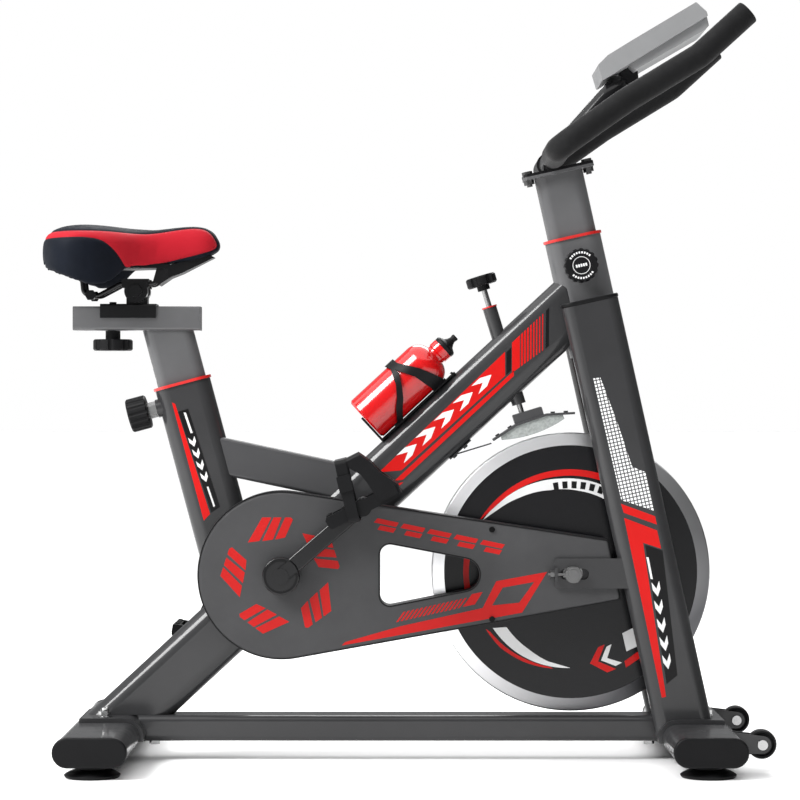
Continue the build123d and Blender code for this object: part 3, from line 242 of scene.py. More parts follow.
    def facing_side(self, low, high):
        """1 where the surface faces across the bike, 0 on its edges."""
        geometry = self.node("ShaderNodeNewGeometry")
        parts = self.node("ShaderNodeSeparateXYZ")
        self.join(geometry.outputs["Normal"], parts.inputs["Vector"])
        return self.ranged(self.math("ABSOLUTE", parts.outputs[1]), low, high, 0, 1)

    def attribute(self, name):
        made = self.node("ShaderNodeAttribute", attribute_name=name)
        return made.outputs["Fac"]

    def number(self, socket, mask, off, on):
        """Sets one shader number to off or on by the mask."""
        self.join(self.ranged(mask, 0, 1, off, on), self.bsdf.inputs[socket])
        return self

    def spot(self, color, mask):
        """Lays a colour over the base where mask is 1."""
        self.base = self.mix(mask, self.base, color)
        self.join(self.base, self.bsdf.inputs["Base Color"])
        return self


def powder_coat(name, color, rough=0.42):
    paint = Paint(
        name, color, rough, coat_weight=0.55, coat_roughness=0.12, specular_ior_level=0.05
    )
    paint.soft_edges(0.0006)
    paint.tone(0.10, 9).sheen_drift(0.06, 35)
    paint.bump(paint.noise(900, 2, 0.5), 0.00006, 0.5)
    return paint.mat


def moulded(name, color, rough=0.55, grain=1400, depth=0.00005, drift=0.14):
    paint = Paint(name, color, rough, specular_ior_level=0.15)
    paint.soft_edges(0.0005)
    paint.tone(drift, 16).sheen_drift(drift / 2, 60)
    paint.bump(paint.noise(grain, 2, 0.6), depth, 0.6)
    return paint.mat


def gloss(name, color, rough=0.18, coat=0.4, level=0.5):
    paint = Paint(
        name, color, rough, coat_weight=coat, coat_roughness=0.06, specular_ior_level=level
    )
    paint.tone(0.06, 14).sheen_drift(0.04, 50)
    paint.bump(paint.noise(500, 2, 0.4), 0.00002, 0.4)
    return paint.mat


def bright_metal(name, color, rough, stretch, scale=160):
    paint = Paint(name, color, rough, metallic=1.0)
    paint.soft_edges(0.0004)
    paint.tone(0.08, scale, stretch).sheen_drift(0.07, scale, stretch)
    paint.bump(paint.noise(scale * 2, 3, 0.6, stretch), 0.00003, 0.35)
    return paint.mat


def rubber(name, color, rough=0.8, pores=1800):
    paint = Paint(name, color, rough, sheen_weight=0.05, specular_ior_level=0.15)
    paint.tone(0.2, 30).sheen_drift(0.06, 90)
    paint.bump(paint.cells(pores), 0.00012, 0.5)
    return paint.mat


def felt(name, color):
    paint = Paint(name, color, 0.92, sheen_weight=0.5, sheen_roughness=0.6)
    paint.tone(0.25, 220)
    paint.bump(paint.noise(1200, 5, 0.8, (1, 1, 3)), 0.0005, 0.9)
    return paint.mat


def cover_look_with_painted_shade():
    """Matt grey cover with painted shade: black where it doesn't face across the bike."""
    paint = Paint("cover_plastic", (0.040, 0.040, 0.0415), 0.55, specular_ior_level=0.3)
    paint.soft_edges(0.0005)
    paint.tone(0.12, 14).sheen_drift(0.07, 60)
    # Painted shade: the cover is made black where its surface doesn't face across the bike.
    paint.spot((0.008, 0.008, 0.009), paint.ranged(paint.facing_side(0.72, 0.9), 0, 1, 1, 0))
    paint.bump(paint.noise(900, 2, 0.6), 0.00009, 0.6)
    return paint.mat


# The rim's bump slopes outwards like a shallow dish. Turned rings are in radians per metre.
RIM_DISH = 0.28
RIM_RINGS = 9000
# Rim colours of a painted light run: a painted highlight and painted shade. The run turns with the
# wheel.
RIM_PAINTED_HIGHLIGHT = (0.85, 0.85, 0.86)
RIM_PAINTED_SHADE = (0.09, 0.09, 0.095)


def flywheel_look():
    """Gloss black disc inside a turned rim, with a painted highlight at the upper left and painted
    shade at the lower right.
    """
    paint = Paint("flywheel_iron", (0.004, 0.004, 0.005), 0.28, specular_ior_level=0.25)
    paint.soft_edges(0.0006)
    radius = paint.radius_from(WHEEL_X * MM, WHEEL_Z * MM)
    rim = paint.ranged(radius, (RIM_INSIDE - 0.2) * MM, (RIM_INSIDE + 0.2) * MM, 0, 1)
    rings = paint.math("SINE", paint.math("MULTIPLY", radius, RIM_RINGS))
    paint.tone(0.2, 12)
    # Painted light: the rim goes from the painted highlight at the upper left to painted shade at
    # the lower right.
    across = paint.axis(0, 45, (WHEEL_X * MM, 0, WHEEL_Z * MM))
    paint.spot(paint.mix(paint.ranged(across, -0.10, 0.17, 0, 1), RIM_PAINTED_HIGHLIGHT, RIM_PAINTED_SHADE), rim)
    paint.number("Metallic", rim, 0.0, 1.0)
    paint.number("Roughness", rim, 0.2, 0.3)
    paint.bump(paint.math("MULTIPLY", rings, rim), 0.00002, 0.5)
    dish = paint.math("MULTIPLY", paint.math("MAXIMUM", radius, RIM_INSIDE * MM), -RIM_DISH)
    paint.bump(dish, 1.0)
    return paint.mat


looks = {
    "frame_grey": powder_coat("frame_grey", (0.029, 0.029, 0.0302)),
    "post_grey": powder_coat("post_grey", (0.090, 0.090, 0.0925), 0.38),
    "black_metal": powder_coat("black_metal", (0.005, 0.005, 0.0055), 0.35),
    "red_trim": gloss("red_trim", (0.5, 0.012, 0.01), 0.3),
    "black_plastic": moulded("black_plastic", (0.0035, 0.0035, 0.004), 0.5),
    "cover_plastic": cover_look_with_painted_shade(),
    "chrome": bright_metal("chrome", (0.42, 0.42, 0.42), 0.14, (1, 1, 1), 90),
    "steel": bright_metal("steel", (0.28, 0.28, 0.28), 0.3, (1, 1, 0.08)),
    "flywheel_iron": flywheel_look(),
    "belt_rubber": rubber("belt_rubber", (0.012, 0.012, 0.012), 0.7, 900),
    "foam_rubber": rubber("foam_rubber", (0.004, 0.004, 0.0044), 0.72),
    "aluminium": bright_metal("aluminium", (0.58, 0.58, 0.58), 0.3, (1, 8, 1)),
    "felt": felt("felt", (0.27, 0.29, 0.28)),
    "saddle_cover": moulded("saddle_plain", (0.02, 0.024, 0.035), 0.6),
    "silver_plastic": moulded("silver_plastic", (0.22, 0.222, 0.225), 0.38, 2400, 0.00002, 0.04),
    "screen": gloss("screen", (0.22, 0.27, 0.22), 0.12),
    "bottle_red": gloss("bottle_red", (0.47, 0.002, 0.003), 0.16),
}


def fastener_look():
    """Bright bolts near the floor, black screws in the belt cover above them."""
    paint = Paint("fasteners", (0.42, 0.42, 0.42), 0.2, metallic=1.0)
    paint.soft_edges(0.0004)
    paint.tone(0.08, 90).sheen_drift(0.06, 90)
    paint.spot((0.012, 0.012, 0.012), paint.ranged(paint.axis(2), 0.14, 0.15, 0, 1))
    return paint.mat


# Nodes whose finish differs from the rest of their slot
dull_axle = bright_metal("dull_axle", (0.16, 0.16, 0.16), 0.4, (1, 1, 1))
own_looks = {
    "head_tube": powder_coat("head_grey", (0.090, 0.090, 0.0925)),
    "cross_brace": powder_coat("brace_grey", (0.048, 0.048, 0.050)),
    "frame_fasteners": fastener_look(),
    "flywheel_axle": dull_axle,
    "belt_tensioners": dull_axle,
    "brake_carriage": moulded("dark_zinc", (0.05, 0.05, 0.052), 0.4),
    "handlebar_bolts": bright_metal("dark_bolts", (0.12, 0.12, 0.12), 0.35, (1, 1, 1)),
}
slot_of = {s["node"]: s["material_slot"] for s in frame["record"]["subparts"]}
for name, node in nodes.items():
    look = own_looks.get(name, looks[slot_of[name]])
    if not node.material_slots:
        node.data.materials.append(look)
    for held in node.material_slots:
        held.material = look


# Saddle cushion ---------------------------------------------------------------


def smooth(knots, x):
    """Height of a smooth curve through (x, value) knots."""
    if x <= knots[0][0]:
        return knots[0][1]
    if x >= knots[-1][0]:
        return knots[-1][1]
    i = max(k for k in range(len(knots) - 1) if knots[k][0] <= x)
    (x0, y0), (x1, y1) = knots[i], knots[i + 1]

    def slope(k):
        if k in (0, len(knots) - 1):
            near = min(max(k, 1), len(knots) - 1)
            a, b = knots[near - 1], knots[near]
        else:
            a, b = knots[k - 1], knots[k + 1]
        return (b[1] - a[1]) / (b[0] - a[0])

    t = (x - x0) / (x1 - x0)
    wide = x1 - x0
    return (
        (2 * t**3 - 3 * t**2 + 1) * y0
        + (t**3 - 2 * t**2 + t) * wide * slope(i)
        + (3 * t**2 - 2 * t**3) * y1
        + (t**3 - t**2) * wide * slope(i + 1)
    )


# Outlines of the cushion as (X, value) in mm: half width, top, underside and crown height
SADDLE_HALF = [
    (-509, 16), (-506, 40), (-500, 61), (-485, 88), (-465, 101), (-445, 102), (-420, 93),
    (-395, 76), (-370, 52), (-345, 38), (-310, 30), (-285, 27), (-272, 23), (-262, 15), (-257, 6),
]
SADDLE_TOP = [
    (-509, 728), (-506, 736), (-499, 745), (-486, 752), (-469, 756), (-444, 757), (-415, 754.5),
    (-387, 750.5), (-361, 749.5), (-344, 750.5), (-316, 754), (-295, 755.5), (-278, 753),
    (-266, 745), (-259, 733), (-256, 727),
]
SADDLE_LOW = [
    (-509, 706), (-500, 690), (-472, 680), (-442, 669), (-418, 668), (-402, 676), (-388, 690),
    (-360, 696), (-330, 700), (-300, 704), (-275, 711), (-262, 717), (-256, 724),
]
SADDLE_CROWN = [(-509, 14), (-480, 30), (-420, 30), (-370, 24), (-330, 24), (-280, 24), (-256, 3)]
CAVITY_TOP = 701.2
SKIN = 2.0
VOXEL = 0.0045
PUFF_LIMIT = 0.005
SEAM_DEPTH = 0.0009
SEAM_HALF = 1.8
# Outline of the red panel, seen from the side
PANEL = [
    (-525, 744), (-495, 743.5), (-453, 744.5), (-411, 744.5), (-369, 741.5), (-348, 743),
    (-313, 749.5), (-290, 751.5), (-275, 748), (-264, 735), (-261, 722), (-284, 714),
    (-341, 699.5), (-383, 686.5), (-394, 708), (-404, 720.5), (-418, 731.5), (-439, 735),
    (-467, 734.5), (-525, 733),
]


def saddle_section(x):
    """Half of one closed section, as (y, z) from the crown round to the hollow's middle."""
    half = smooth(SADDLE_HALF, x) - SKIN
    top = smooth(SADDLE_TOP, x) - SKIN * 0.6
    low = smooth(SADDLE_LOW, x) + SKIN * 0.4
    side = top - min(smooth(SADDLE_CROWN, x), (top - low) * 0.6)
    points = []
    for k in range(13):
        a = math.pi / 2 * k / 12
        points.append((half * math.sin(a) ** 0.85, side + (top - side) * math.cos(a) ** 0.9))
    for k in range(1, 7):
        t = k / 6
        points.append((half * (1 - 0.06 * t * t), side + (low - side) * t))
    wall = half * 0.94
    thick = min(9.0, wall * 0.5)
    roof = max(CAVITY_TOP, low)
    inner = max(wall - thick, 0.5)
    points.append((wall - thick * 0.5, low - 0.01))
    for k in range(4):
        points.append((inner, low + (roof - low) * k / 3))
    for k in range(1, 5):
        points.append((inner * (1 - k / 4), roof))
    return points


def saddle_blank():
    stations = [-509, -506, -502, -497] + list(range(-490, -270, 7)) + [-270, -265, -260, -257]
    points, faces = [], []
    for x in stations:
        section = saddle_section(x)
        ring = section + [(-y, z) for y, z in reversed(section[1:-1])]
        points += [(x * MM, y * MM, z * MM) for y, z in ring]
    count = len(ring)
    for i in range(len(stations) - 1):
        for k in range(count):
            n = (k + 1) % count
            faces.append((i * count + k, i * count + n, (i + 1) * count + n, (i + 1) * count + k))
    faces.append(tuple(range(count)))
    faces.append(tuple(reversed(range(len(points) - count, len(points)))))
    return mesh_piece("saddle_pad", points, faces, True)


def settled(piece):
    """Replaces the mesh by what its modifiers make of it."""
    graph = bpy.context.evaluated_depsgraph_get()
    mesh = bpy.data.meshes.new_from_object(piece.evaluated_get(graph))
    piece.modifiers.clear()
    piece.data = mesh


def edge_distance(shape, x, z):
    """Distance to a closed outline, positive inside it."""
    best, inside = 1e9, False
    for (x0, z0), (x1, z1) in zip(shape, shape[1:] + shape[:1]):
        dx, dz = x1 - x0, z1 - z0
        t = max(0, min(1, ((x - x0) * dx + (z - z0) * dz) / (dx * dx + dz * dz)))
        best = min(best, math.hypot(x - x0 - t * dx, z - z0 - t * dz))
        if (z0 > z) != (z1 > z) and x < x0 + dx * (z - z0) / dz:
            inside = not inside
    return best if inside else -best


def rounded(shape, passes=2):
    """Cuts the corners of an outline."""
    for _ in range(passes):
        out = []
        for (x0, z0), (x1, z1) in zip(shape, shape[1:] + shape[:1]):
            out.append((x0 * 0.75 + x1 * 0.25, z0 * 0.75 + z1 * 0.25))
            out.append((x0 * 0.25 + x1 * 0.75, z0 * 0.25 + z1 * 0.75))
        shape = out
    return shape


CLOTH_FRAMES = 20


def inflate(piece, limit):
    """Blows the pad up a little with Cloth, then keeps the hollow's walls where they were."""
    rest = [v.co.copy() for v in piece.data.vertices]
    held = piece.vertex_groups.new(name="held")
    for vertex in piece.data.vertices:
        x, y, z = (c / MM for c in vertex.co)
        half = smooth(SADDLE_HALF, x)
        if z < smooth(SADDLE_LOW, x) + 6 or (z < CAVITY_TOP + 4 and abs(y) < half - 6):
            held.add([vertex.index], 1.0, "REPLACE")
    cloth = piece.modifiers.new("cloth", "CLOTH")
    setup = cloth.settings
    setup.quality = 4
    setup.mass = 0.2
    setup.tension_stiffness = 20
    setup.compression_stiffness = 20
    setup.shear_stiffness = 8
    setup.bending_stiffness = 0.8
    setup.use_pressure = True
    setup.uniform_pressure_force = 4
    setup.effector_weights.gravity = 0
    setup.vertex_group_mass = "held"
    cloth.collision_settings.use_collision = False
    scene = bpy.context.scene
    cloth.point_cache.frame_start = 1
    cloth.point_cache.frame_end = CLOTH_FRAMES
    for moment in range(1, CLOTH_FRAMES + 1):
        scene.frame_set(moment)
        bpy.context.evaluated_depsgraph_get().update()
    settled(piece)
    scene.frame_set(1)
    for vertex, start in zip(piece.data.vertices, rest):
        move = vertex.co - start
        if move.length > limit:
            vertex.co = start + move.normalized() * limit


WEAVE = 5200  # radians per metre


def saddle_look():
    """Stretch cover: red panels on a blue-black body, with a sunk seam between them."""
    paint = Paint(
        "saddle_cover", (0.002, 0.0035, 0.0075), 0.66, sheen_weight=0.02, specular_ior_level=0.1
    )
    paint.tone(0.2, 25).sheen_drift(0.06, 60)
    panel = paint.attribute("panel")
    paint.spot((0.33, 0.007, 0.015), paint.ranged(panel, -0.4, 0.4, 0, 1))
    threads = [
        paint.math("SINE", paint.math("MULTIPLY", paint.axis(index, 45), WEAVE))
        for index in (0, 2)
    ]
    paint.bump(paint.math("MULTIPLY", *threads), 0.00006, 0.6)
    paint.bump(paint.noise(140, 4, 0.6), 0.0003, 0.25)
    seam = paint.ranged(paint.math("ABSOLUTE", panel), 0.2, 1.6, 0, 1)
    paint.bump(seam, 0.0006, 0.8)
    return paint.mat


pad = saddle_blank()
voxels = pad.modifiers.new("voxels", "REMESH")
voxels.mode = "VOXEL"
voxels.voxel_size = VOXEL
settled(pad)
inflate(pad, PUFF_LIMIT)
ease = pad.modifiers.new("ease", "SMOOTH")
ease.factor = 0.5
ease.iterations = 4
finer = pad.modifiers.new("finer", "SUBSURF")
finer.levels = 1
settled(pad)
panel_edge = rounded(PANEL)
normals = [v.normal.copy() for v in pad.data.vertices]
signed = [edge_distance(panel_edge, v.co.x / MM, v.co.z / MM) for v in pad.data.vertices]
for vertex, normal, gap in zip(pad.data.vertices, normals, signed):
    vertex.co -= normal * SEAM_DEPTH * math.exp(-((gap / SEAM_HALF) ** 2))
layer = pad.data.attributes.new("panel", "FLOAT", "POINT")
layer.data.foreach_set("value", signed)
pad.data.materials.clear()
pad.data.materials.append(saddle_look())
for polygon in pad.data.polygons:
    polygon.use_smooth = True
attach(pad, "saddle")
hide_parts("saddle_cushion")


# Thin films: printed marks, and black lines of painted shade -------------------

# How far a film's back and front stand off the surface, in mm
FILM_LOW = 0.03
FILM_HIGH = 0.18


def film(name, shapes, spots, body, look, cuts=()):
    """Thin closed film on each surface in spots, from outlines in that surface's (u, v) mm."""
    shape = bmesh.new()
    for outline in shapes:
        shape.faces.new([shape.verts.new((u, v, 0)) for u, v in outline])
    bmesh.ops.remove_doubles(shape, verts=list(shape.verts), dist=0.001)
    for cut in cuts:
        everything = list(shape.verts) + list(shape.edges) + list(shape.faces)
        bmesh.ops.bisect_plane(shape, geom=everything, plane_co=(cut, 0, 0), plane_no=(1, 0, 0))
    bmesh.ops.triangulate(shape, faces=list(shape.faces))
    shape.verts.index_update()
    flat = [(v.co.x, v.co.y) for v in shape.verts]
    tris = [[v.index for v in f.verts] for f in shape.faces]
    rim = [[v.index for v in e.verts] for e in shape.edges if len(e.link_faces) == 1]
    shape.free()
    points, faces = [], []
    count = len(flat)
    for place in spots:
        first = len(points)
        points += [place(u, v, FILM_HIGH) for u, v in flat]
        points += [place(u, v, FILM_LOW) for u, v in flat]
        faces += [[first + i for i in tri] for tri in tris]
        faces += [[first + count + i for i in reversed(tri)] for tri in tris]
        faces += [(first + a, first + b, first + count + b, first + count + a) for a, b in rim]
    piece = mesh_piece(name, points, faces)
    tidy = bmesh.new()
    tidy.from_mesh(piece.data)
    bmesh.ops.recalc_face_normals(tidy, faces=list(tidy.faces))
    tidy.to_mesh(piece.data)
    tidy.free()
    piece.data.materials.append(look)
    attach(piece, body)
    return piece


def tube_side(matrix, side, flat_half, radius, middle=0.0):
    """Surface of a flat-oval tube on one side: u across its width, v along it."""

    def place(u, v, lift):
        over = max(0.0, abs(u) - flat_half)
        turn = math.asin(min(1.0, over / radius))
        reach = (radius + lift) * math.cos(turn)
        if over:
            u = math.copysign(flat_half + (radius + lift) * math.sin(turn), u)
        return matrix @ Vector((u * MM, side * (middle + reach) * MM, v * MM))

    return place


def flat_side(y):
    """Flat face across the bike at y mm: u is X and v is Z."""

    def place(u, v, lift):
        return Vector((u * MM, (y + math.copysign(lift, y)) * MM, v * MM))

    return place


def lifted(spots):
    """The same surfaces, one film higher."""
    return [lambda u, v, lift, base=base: base(u, v, lift + FILM_HIGH) for base in spots]


def strip(corners, fractions):
    """Slice of the four-sided shape a, b, d, c, between two fractions of a-b and of c-d."""
    (a, b), (c, d) = corners
    start, end = fractions

    def between(p, q, t):
        return (p[0] + (q[0] - p[0]) * t, p[1] + (q[1] - p[1]) * t)

    return [between(a, b, start), between(a, b, end), between(c, d, end), between(c, d, start)]


def arrowhead(u, v, half, long, slant=0.0):
    """Chevron that points along +v from (u, v), or along -v for a negative length."""
    arm = long * 0.52
    ring = [(-half, 0), (-half, arm), (0, long), (half, arm), (half, 0), (0, long - arm)]
    return [(u + du + slant * dv, v + dv) for du, dv in ring]


def turned(shape, degrees, x=0.0, z=0.0):
    """Turns an outline about its origin, then moves it to (x, z)."""
    a = math.radians(degrees)
    return [
        (x + u * math.cos(a) - v * math.sin(a), z + u * math.sin(a) + v * math.cos(a))
        for u, v in shape
    ]


film_red = gloss("film_red", (0.50, 0.005, 0.004), 0.35, 0.1, 0.15)
film_dull_red = gloss("film_dull_red", (0.40, 0.009, 0.008), 0.4, 0.05, 0.15)
film_white = gloss("film_white", (0.68, 0.68, 0.68), 0.35, 0.1, 0.2)
film_black = gloss("film_black", (0.003, 0.003, 0.0034), 0.35, 0.1, 0.15)


GRID_PER_METRE = 200
GRID_WHITE = 0.70  # share of each square's width


def checked_look():
    """White film with a dark square grid that follows the fork."""
    paint = Paint("film_mesh", (0.78, 0.78, 0.78), 0.35, coat_weight=0.3, coat_roughness=0.1)
    paint.tone(0.05, 30)
    masks = []
    for index in (0, 2):
        along = paint.math("MULTIPLY", paint.axis(index, -HEAD_LEAN), GRID_PER_METRE)
        masks.append(paint.math("GREATER_THAN", paint.math("FRACT", along), GRID_WHITE))
    paint.spot((0.03, 0.03, 0.032), paint.math("MAXIMUM", *masks))
    return paint.mat


# Main tube
main_spots = [tube_side(MAIN, side, flat_half=20.5, radius=21) for side in (-1, 1)]
main_cuts = [-20.5, -18, 18, 20.5, 22, 24, 27]
block = (((12, 430), (18.7, 487)), ((-19.3, 459), (-19.7, 523)))
main_red = [
    [(-12.5, 197), (-16.5, 443), (8.5, 420), (7, 222)],
    [(11, 205), (18, 214), (17, 429), (11.5, 434)],
    [(12.4, 183), (21, 187), (21, 213), (15.6, 203)],
    strip(block, (0.0, 0.24)),
]
main_red += [strip(block, (0.27 + 0.092 * i, 0.335 + 0.087 * i)) for i in range(8)]
main_white = [arrowhead(-5.8, 231 + 36 * i, 7.6, 32) for i in range(5)]
film("main_tube_red_film", main_red, main_spots, "frame", film_red, main_cuts)
film(
    "main_tube_white_film", main_white, lifted(main_spots), "frame", film_white,
    main_cuts,
)
main_black = [
    [(-14.6, 444), (-15, 454), (9, 431), (8.8, 422)],
    [(-19.7, 525), (-20, 531), (19.4, 494), (19, 488)],
]
film(
    "main_tube_black_film", main_black, main_spots, "frame", film_black,
    main_cuts,
)

# Fork legs
fork_spots = [tube_side(HEAD, side, flat_half=24, radius=16, middle=58) for side in (-1, 1)]
mesh_panel = [
    (-19.5, -199), (-9.5, -200), (0.5, -270), (7, -331), (23, -342), (23, -397), (-18, -373),
]
fork_red = [
    [(-19.5, -378), (23, -405), (23, -417), (-18.5, -391)],
    [(-19.5, -398), (21.5, -425), (21.5, -451), (-1.3, -437.5), (-16.5, -654), (-22.5, -654)],
]
fork_black = [[(1, -441), (23, -454), (5.5, -628), (-12, -637)]]
fork_white = [[(-1.2, -458), (1.8, -459), (1.0, -490), (-1.8, -489)]]
fork_white += [arrowhead(3.6 - 1.9 * i, -494 - 25.5 * i, 5.4, -21, 0.05) for i in range(5)]
film("fork_mesh_film", [mesh_panel], fork_spots, "frame", checked_look())
film("fork_red_film", fork_red, fork_spots, "frame", film_red)
film("fork_black_film", fork_black, fork_spots, "frame", film_black)
film("fork_white_film", fork_white, lifted(fork_spots), "frame", film_white)

# Seat tube
seat_spots = [tube_side(SEAT, side, flat_half=20, radius=20) for side in (-1, 1)]
seat_red = [[(-19.8, -21), (-16, -24), (-8.6, -187), (-19.5, -194)]]
seat_black = [[(-14.6, -36), (0, -35.5), (7.8, -181), (-6.5, -186)]]
film("seat_tube_red_film", seat_red, seat_spots, "frame", film_red)
film("seat_tube_black_film", seat_black, seat_spots, "frame", film_black)
seat_white = [[(-7.5, -39), (-4.5, -40), (-2.5, -70), (-5.5, -70)]]
seat_white += [[(-3.2, -149), (-0.8, -149), (1.2, -178), (-1.2, -179)]]
seat_white += [arrowhead(-6.2 + 1.1 * i, -75 - 17.5 * i, 4.6, -14.5, -0.06) for i in range(4)]
film("seat_tube_white_film", seat_white, lifted(seat_spots), "frame", film_white)

# Belt cover
cover_red = []
bars = [
    [(-47, 46), (-31, 48), (-14, 81), (-27, 81)],
    [(-27, 48), (-12, 50), (0, 81), (-11, 81)],
    [(-9, 50), (5, 53), (16, 78), (13, 81), (5, 81)],
]
for i in range(5):
    cover_red += [turned(shape, 72 * i, CRANK_X, CRANK_Z) for shape in bars]
for i in range(5):
    x = -40 + 37 * i
    z = 337 - 7.6 * i
    cover_red.append([(x, z), (x + 31, z - 6.4), (x + 35, z - 0.4), (x + 5, z + 6)])
    cover_red.append([(x + 5, z - 10), (x + 27, z - 14.5), (x + 31, z - 8.5), (x + 9, z - 4)])
outer = [(112, 217.5), (131, 255), (202, 268), (167, 211)]
inner = [(125, 221), (140, 246), (184, 254), (163, 225)]
for i in range(4):
    j = (i + 1) % 4
    cover_red.append([outer[i], outer[j], inner[j], inner[i]])
cover_red.append([(-85, 165), (-80, 170), (-3, 192), (112, 217.5), (167, 211)])
for i in range(15):
    x = -9 + 6.1 * i
    z = 197.5 + 1.38 * i
    cover_red.append([(x, z), (x + 3.2, z + 0.7), (x + 13.6, z + 15.2), (x + 10.4, z + 14.5)])
cover_red.append([(84, 219), (97, 237), (112, 240), (101, 222.5)])
film("cover_red_film", cover_red, [flat_side(COVER_FACE)], "frame", film_dull_red)


def arc(x, z, radius, start, end, count=24):
    """Points round a circle, with angles in degrees."""
    angles = [math.radians(start + (end - start) * k / count) for k in range(count + 1)]
    return [(x + radius * math.cos(a), z + radius * math.sin(a)) for a in angles]


# The cover's radius round the cranks, and its window's round corners as X, Z and radius
COVER_RADIUS = 118
WINDOW_FRONT = (85, 264, 22.5)
WINDOW_UPPER = (-17.4, 292.1, 14)
WINDOW_LOWER = (-17.4, 235, 14)


def cover_edge(inset):
    """The cover's outline round the cranks, from its upper front end to its lower one."""
    ends = (287, 313.2 - inset), (304, 228 + inset)
    around = arc(CRANK_X, CRANK_Z, COVER_RADIUS - inset, 81.4, 280.15, 48)
    return [ends[0]] + around + [ends[1]]


def window_edges(grow):
    """The window's outline in two halves, grown by some mm."""

    def corner(place, start, end):
        x, z, radius = place
        return arc(x, z, radius + grow, start, end)

    first = corner(WINDOW_FRONT, -78.8, 79.25) + corner(WINDOW_UPPER, 79.25, 180)
    second = [first[-1]] + corner(WINDOW_LOWER, 180, 281.2) + [first[0]]
    return first, second


def band(far, near):
    """Quads between two lines with as many points."""
    count = len(far) - 1
    return [[far[i], far[i + 1], near[i + 1], near[i]] for i in range(count)]


# Painted shade: a black line along the cover's outline round the cranks and round its window.
cover_shade_lines = band(cover_edge(0.5), cover_edge(2.2))
for far, near in zip(window_edges(2.2), window_edges(0.4)):
    cover_shade_lines += band(far, near)
film("cover_edge_shade_film", cover_shade_lines, [flat_side(COVER_FACE)], "frame", film_black)

# Crank hubs: a black line of painted shade round each one and along both sides of its arm
for name, side, turn in (("crank_right_film", -1, 40.8), ("crank_left_film", 1, 220.8)):
    hub_shade_lines = band(arc(0, 0, 23.8, 30, 330, 60), arc(0, 0, 20.6, 30, 330, 60))
    hub_shade_lines.append([(3, 9.7), (21, 9.7), (21, 11.3), (3, 11.3)])
    hub_shade_lines.append([(6, -11.3), (21, -11.3), (21, -9.7), (6, -9.7)])
    hub_shade_lines = [turned(shape, turn, CRANK_X, CRANK_Z) for shape in hub_shade_lines]
    film(name, hub_shade_lines, [flat_side(CRANK_FACE * side)], "cranks", film_black)


# Flywheel
def polar(points):
    """Places from (radius, degrees) about the flywheel's axle."""
    return [
        (WHEEL_X + r * math.cos(math.radians(t)), WHEEL_Z + r * math.sin(math.radians(t)))
        for r, t in points
    ]


def smooth_arc(knots, step=3.0):
    """Radius that runs smoothly through (radius, angle) knots."""
    out = []
    for (r0, t0), (r1, t1) in zip(knots, knots[1:]):
        count = max(1, round(abs(t1 - t0) / step))
        out += [(r0 + (r1 - r0) * k / count, t0 + (t1 - t0) * k / count) for k in range(count)]
    return out + [knots[-1]]


def crescent(outer, inner):
    """Shape between two arcs, each given as (radius, degrees) knots."""
    return polar(smooth_arc(outer) + smooth_arc(inner[::-1]))


def wheel_chevron(r, t, reach, slant, thick):
    """Chevron with its tip at (radius, degrees), pointing along the rim."""
    far, near = t + slant, t + slant + thick
    return polar(
        [(r, t), (r + reach, far), (r + reach, near), (r, t + thick), (r - reach, near),
         (r - reach, far)]
    )


wheel_spots = [flat_side(-WHEEL_FACE), flat_side(WHEEL_FACE)]
wheel_red = [
    crescent(
        [(148, 151), (146.5, 133), (145.5, 113), (145, 96), (145, 50)],
        [(140, 137), (137.5, 115), (136, 96), (135.5, 50)],
    ),
    crescent(
        [(145, -146), (146.5, -133), (144, -118), (139.5, -100)],
        [(142, -143), (141, -131), (139, -115), (138, -102)],
    ),
    crescent([(152, 168), (152, 190)], [(144, 168), (144, 190)]),
    wheel_chevron(133, -78, 19, 8, 5),
    polar([(148, -59), (148, -50), (157, -51), (157, -60)]),
]
wheel_white = [
    crescent(
        [(144, 149.5), (140, 134), (136, 114), (132.5, 96.5), (130, 62)],
        [(134.5, 138), (127, 124), (119, 104), (115, 83), (113, 62)],
    ),
    crescent(
        [(136, -144), (137.5, -125), (137.5, -108), (136.5, -90)],
        [(120, -139), (125, -118), (131, -104)],
    ),
    wheel_chevron(133, -71, 15, 6.5, 4),
    polar([(114, -50), (119, -42), (142, -48), (138, -55)]),
]
film("flywheel_red_film", wheel_red, wheel_spots, "flywheel", film_red)
film("flywheel_white_film", wheel_white, wheel_spots, "flywheel", film_white)
wheel_marks = [
    crescent([(128, a), (128, a + 3.4)], [(118, a), (118, a + 3.4)]) for a in range(68, 104, 6)
]
film(
    "flywheel_black_film", wheel_marks, lifted(wheel_spots), "flywheel", film_black,
)


# Dial on the head tube's knob
KNOB_RIM = 58
KNOB_MIDDLE = 56.5
KNOB_DROP = 41


def knob_face(out):
    """Knob surface at out mm from the bike's middle plane."""

    def place(u, v, lift):
        return HEAD @ Vector((u * MM, -(out + lift) * MM, (v - KNOB_DROP) * MM))

    return place


def ring_part(inner, outer, start, end, step=4.0):
    """Piece of a flat ring, with angles in degrees."""
    count = max(1, round((end - start) / step))
    return arc(0, 0, outer, start, end, count) + arc(0, 0, inner, start, end, count)[::-1]


def bar(x0, y0, x1, y1):
    return [(x0, y0), (x1, y0), (x1, y1), (x0, y1)]


